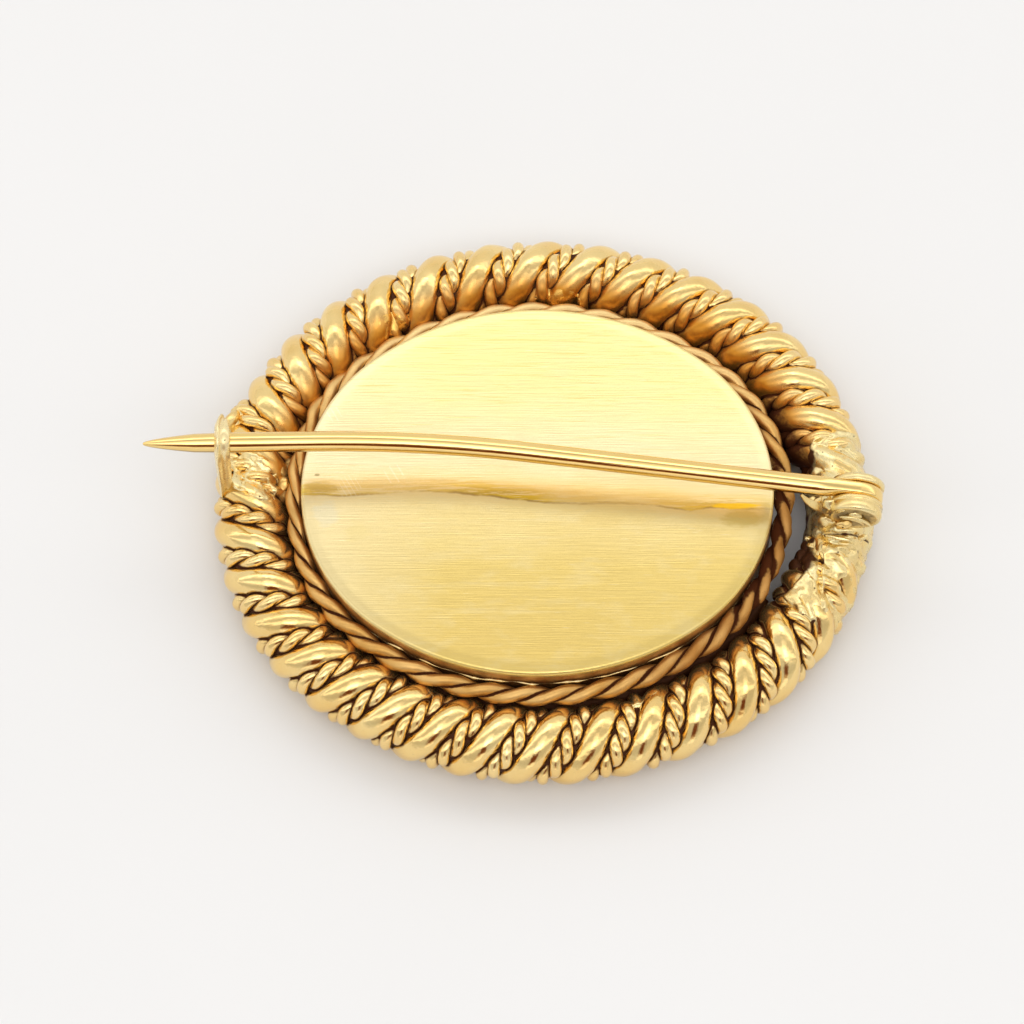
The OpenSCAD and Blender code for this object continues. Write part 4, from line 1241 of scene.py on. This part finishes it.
def solder_joints():
    """A dark core of solder between the wires, painted shade, a seam at the foot of the setting's wall, dark
    with dirt and painted shade, a bright edge there, and a few lumps.
    """
    build = Build()
    share = shares(SEAM_RINGS)
    angle = normal_angle(share)
    outward = stack(cosd(angle), sind(angle), 0)
    middle, _ = wound_line(share, 0, 0)
    # a dark tube inside the rope: painted shade seen through the gaps between the wires
    core = uneven(tube(middle, outward, CORE_RADIUS, CORE_SIDES), 0.06, 1.8, 83)
    build.add(bumped(core), grid_faces(SEAM_RINGS, CORE_SIDES), FULL_DIRT_AND_SHADE)
    # the seam beside the border, dark with dirt and painted shade
    x, y = axes(oval_point(angle, -2.42))
    line = stack(x - SETTING_SHIFT, y, -0.15)
    open_here = np.exp(-((line[:, 0] - 13.7) ** 2) / 6) * smooth(5.2, 4.2, np.abs(y + 1.0))
    for gap in GAPS:
        open_here = np.maximum(open_here, bump_at(line, *gap))
    opened = smooth(0.35, 0.65, open_here)
    width = 0.62 * (1 - 0.88 * opened) * (1 + wobble(SEAM_RINGS, 90, 77, 0.05))
    line = line - (0.40 * opened)[:, None] * outward
    seam = sweep(line, outward, circle(SEAM_SIDES) * stack(width, 0.9 * width)[:, None], closed=True)
    build.add(uneven(seam, 0.06, 2.0, 78), grid_faces(SEAM_RINGS, SEAM_SIDES), FULL_DIRT_AND_SHADE)
    # the bright broken edge at the foot of the wall
    x, y = axes(oval_point(angle, -WALL_INSET + 0.11 + wobble(SEAM_RINGS, 60, 79, 0.035)))
    edge = stack(x - SETTING_SHIFT, y, 1.92 + wobble(SEAM_RINGS, 50, 80, 0.06))
    size = 0.085 * smooth(-0.5, 0.5, wobble(SEAM_RINGS, 55, 81, 0.6)) * smooth(-8.6, -10.0, line[:, 1])
    size = np.maximum(size * (1 + wobble(SEAM_RINGS, 150, 85, 0.3)), 0.002)
    build.add(tube(edge, outward, size, EDGE_SIDES), grid_faces(SEAM_RINGS, EDGE_SIDES), 0.1)
    for index, lump in enumerate(LUMPS):
        solder_lump(build, index, *lump)
    build.piece("solder_joints", SOLDER, "brooch")


solder_joints()


# Floor, camera and light tent
FLOOR_HALF = 3.0
ELEVATION, DISTANCE, MM_PER_PIXEL, PIXELS, SENSOR = 68.0, 400.0, 0.0573, 1024, 36.0
CAMERA_SHIFT = np.array([-1.7477, -0.154, 0.0])
TENT_STRENGTH, SIDES_START, SIDES_FULL = 3.0, 0.16, 0.36
TENT_BROWN = (0.16, 0.045, 0.012)
# Light by the angle over the brooch: 0 is the front horizon, 90 straight up and 180 the back horizon
TENT_MIDDLE = [(0, 1.25), (9, 1.2), (15, (0.7, 0.5, 0.35)), (21, TENT_BROWN), (43, TENT_BROWN), (49, 0.9),
               (56, 2.7), (67, 2.8), (74, 1.7), (90, 1.05), (100, 0.70), (108, 0.60), (112, 0.95), (117, 1.7),
               (121, 2.7), (128, 2.4), (135, 1.0), (150, 0.9), (180, 0.9)]
TENT_SIDES = [(0, 0.80), (25, 0.60), (45, 0.66), (58, 1.5), (68, 1.5), (80, 0.78), (95, 0.70), (110, 1.0),
              (120, 1.8), (128, 1.6), (140, 0.9), (180, 0.85)]


def floor():
    mesh = bpy.data.meshes.new("floor")
    corners = [(-FLOOR_HALF, -FLOOR_HALF, 0), (FLOOR_HALF, -FLOOR_HALF, 0), (FLOOR_HALF, FLOOR_HALF, 0),
               (-FLOOR_HALF, FLOOR_HALF, 0)]
    mesh.from_pydata(corners, [], [(0, 1, 2, 3)])
    look = new_look("pale_floor")
    colour = look.mix(look.grain(0.02, 2), (0.80, 0.79, 0.775), (0.84, 0.83, 0.82))
    mesh.materials.append(look.finish(Base_Color=colour, Roughness=0.65))
    obj = bpy.data.objects.new("floor", mesh)
    bpy.context.scene.collection.objects.link(obj)


def camera():
    back = np.array([0.0, -cosd(ELEVATION), sind(ELEVATION)])
    data = bpy.data.cameras.new("camera")
    data.sensor_width = SENSOR
    data.lens = SENSOR * DISTANCE / (MM_PER_PIXEL * PIXELS)
    data.clip_start, data.clip_end = 0.01, 20.0
    obj = bpy.data.objects.new("camera", data)
    obj.location = Vector((FRAME_MIDDLE + CAMERA_SHIFT + DISTANCE * back) * MM)
    obj.rotation_euler = Vector(-back).to_track_quat("-Z", "Y").to_euler()
    bpy.context.scene.collection.objects.link(obj)
    bpy.context.scene.camera = obj


def world():
    studio = bpy.data.worlds.new("studio")
    bpy.context.scene.world = studio
    look = Look(studio)
    x, y, z = (look.node("SeparateXYZ", {0: look.node("TexCoord", (), "Generated")}, k) for k in range(3))
    share = look.math("DIVIDE", look.math("ARCTAN2", z, y * -1.0), math.pi, clamp=True)
    middle, sides = (look.ramp(share, *((angle / 180, np.broadcast_to(light, 3) / TENT_STRENGTH)
                                        for angle, light in stops)) for stops in (TENT_MIDDLE, TENT_SIDES))
    light = look.mix(look.between(look.math("ABSOLUTE", x), SIDES_START, SIDES_FULL, True), middle, sides)
    look.node("OutputWorld", {0: look.node("Background", {"Color": light, "Strength": TENT_STRENGTH})})


floor()
camera()
world()
bpy.context.scene.view_settings.view_transform = "Standard"
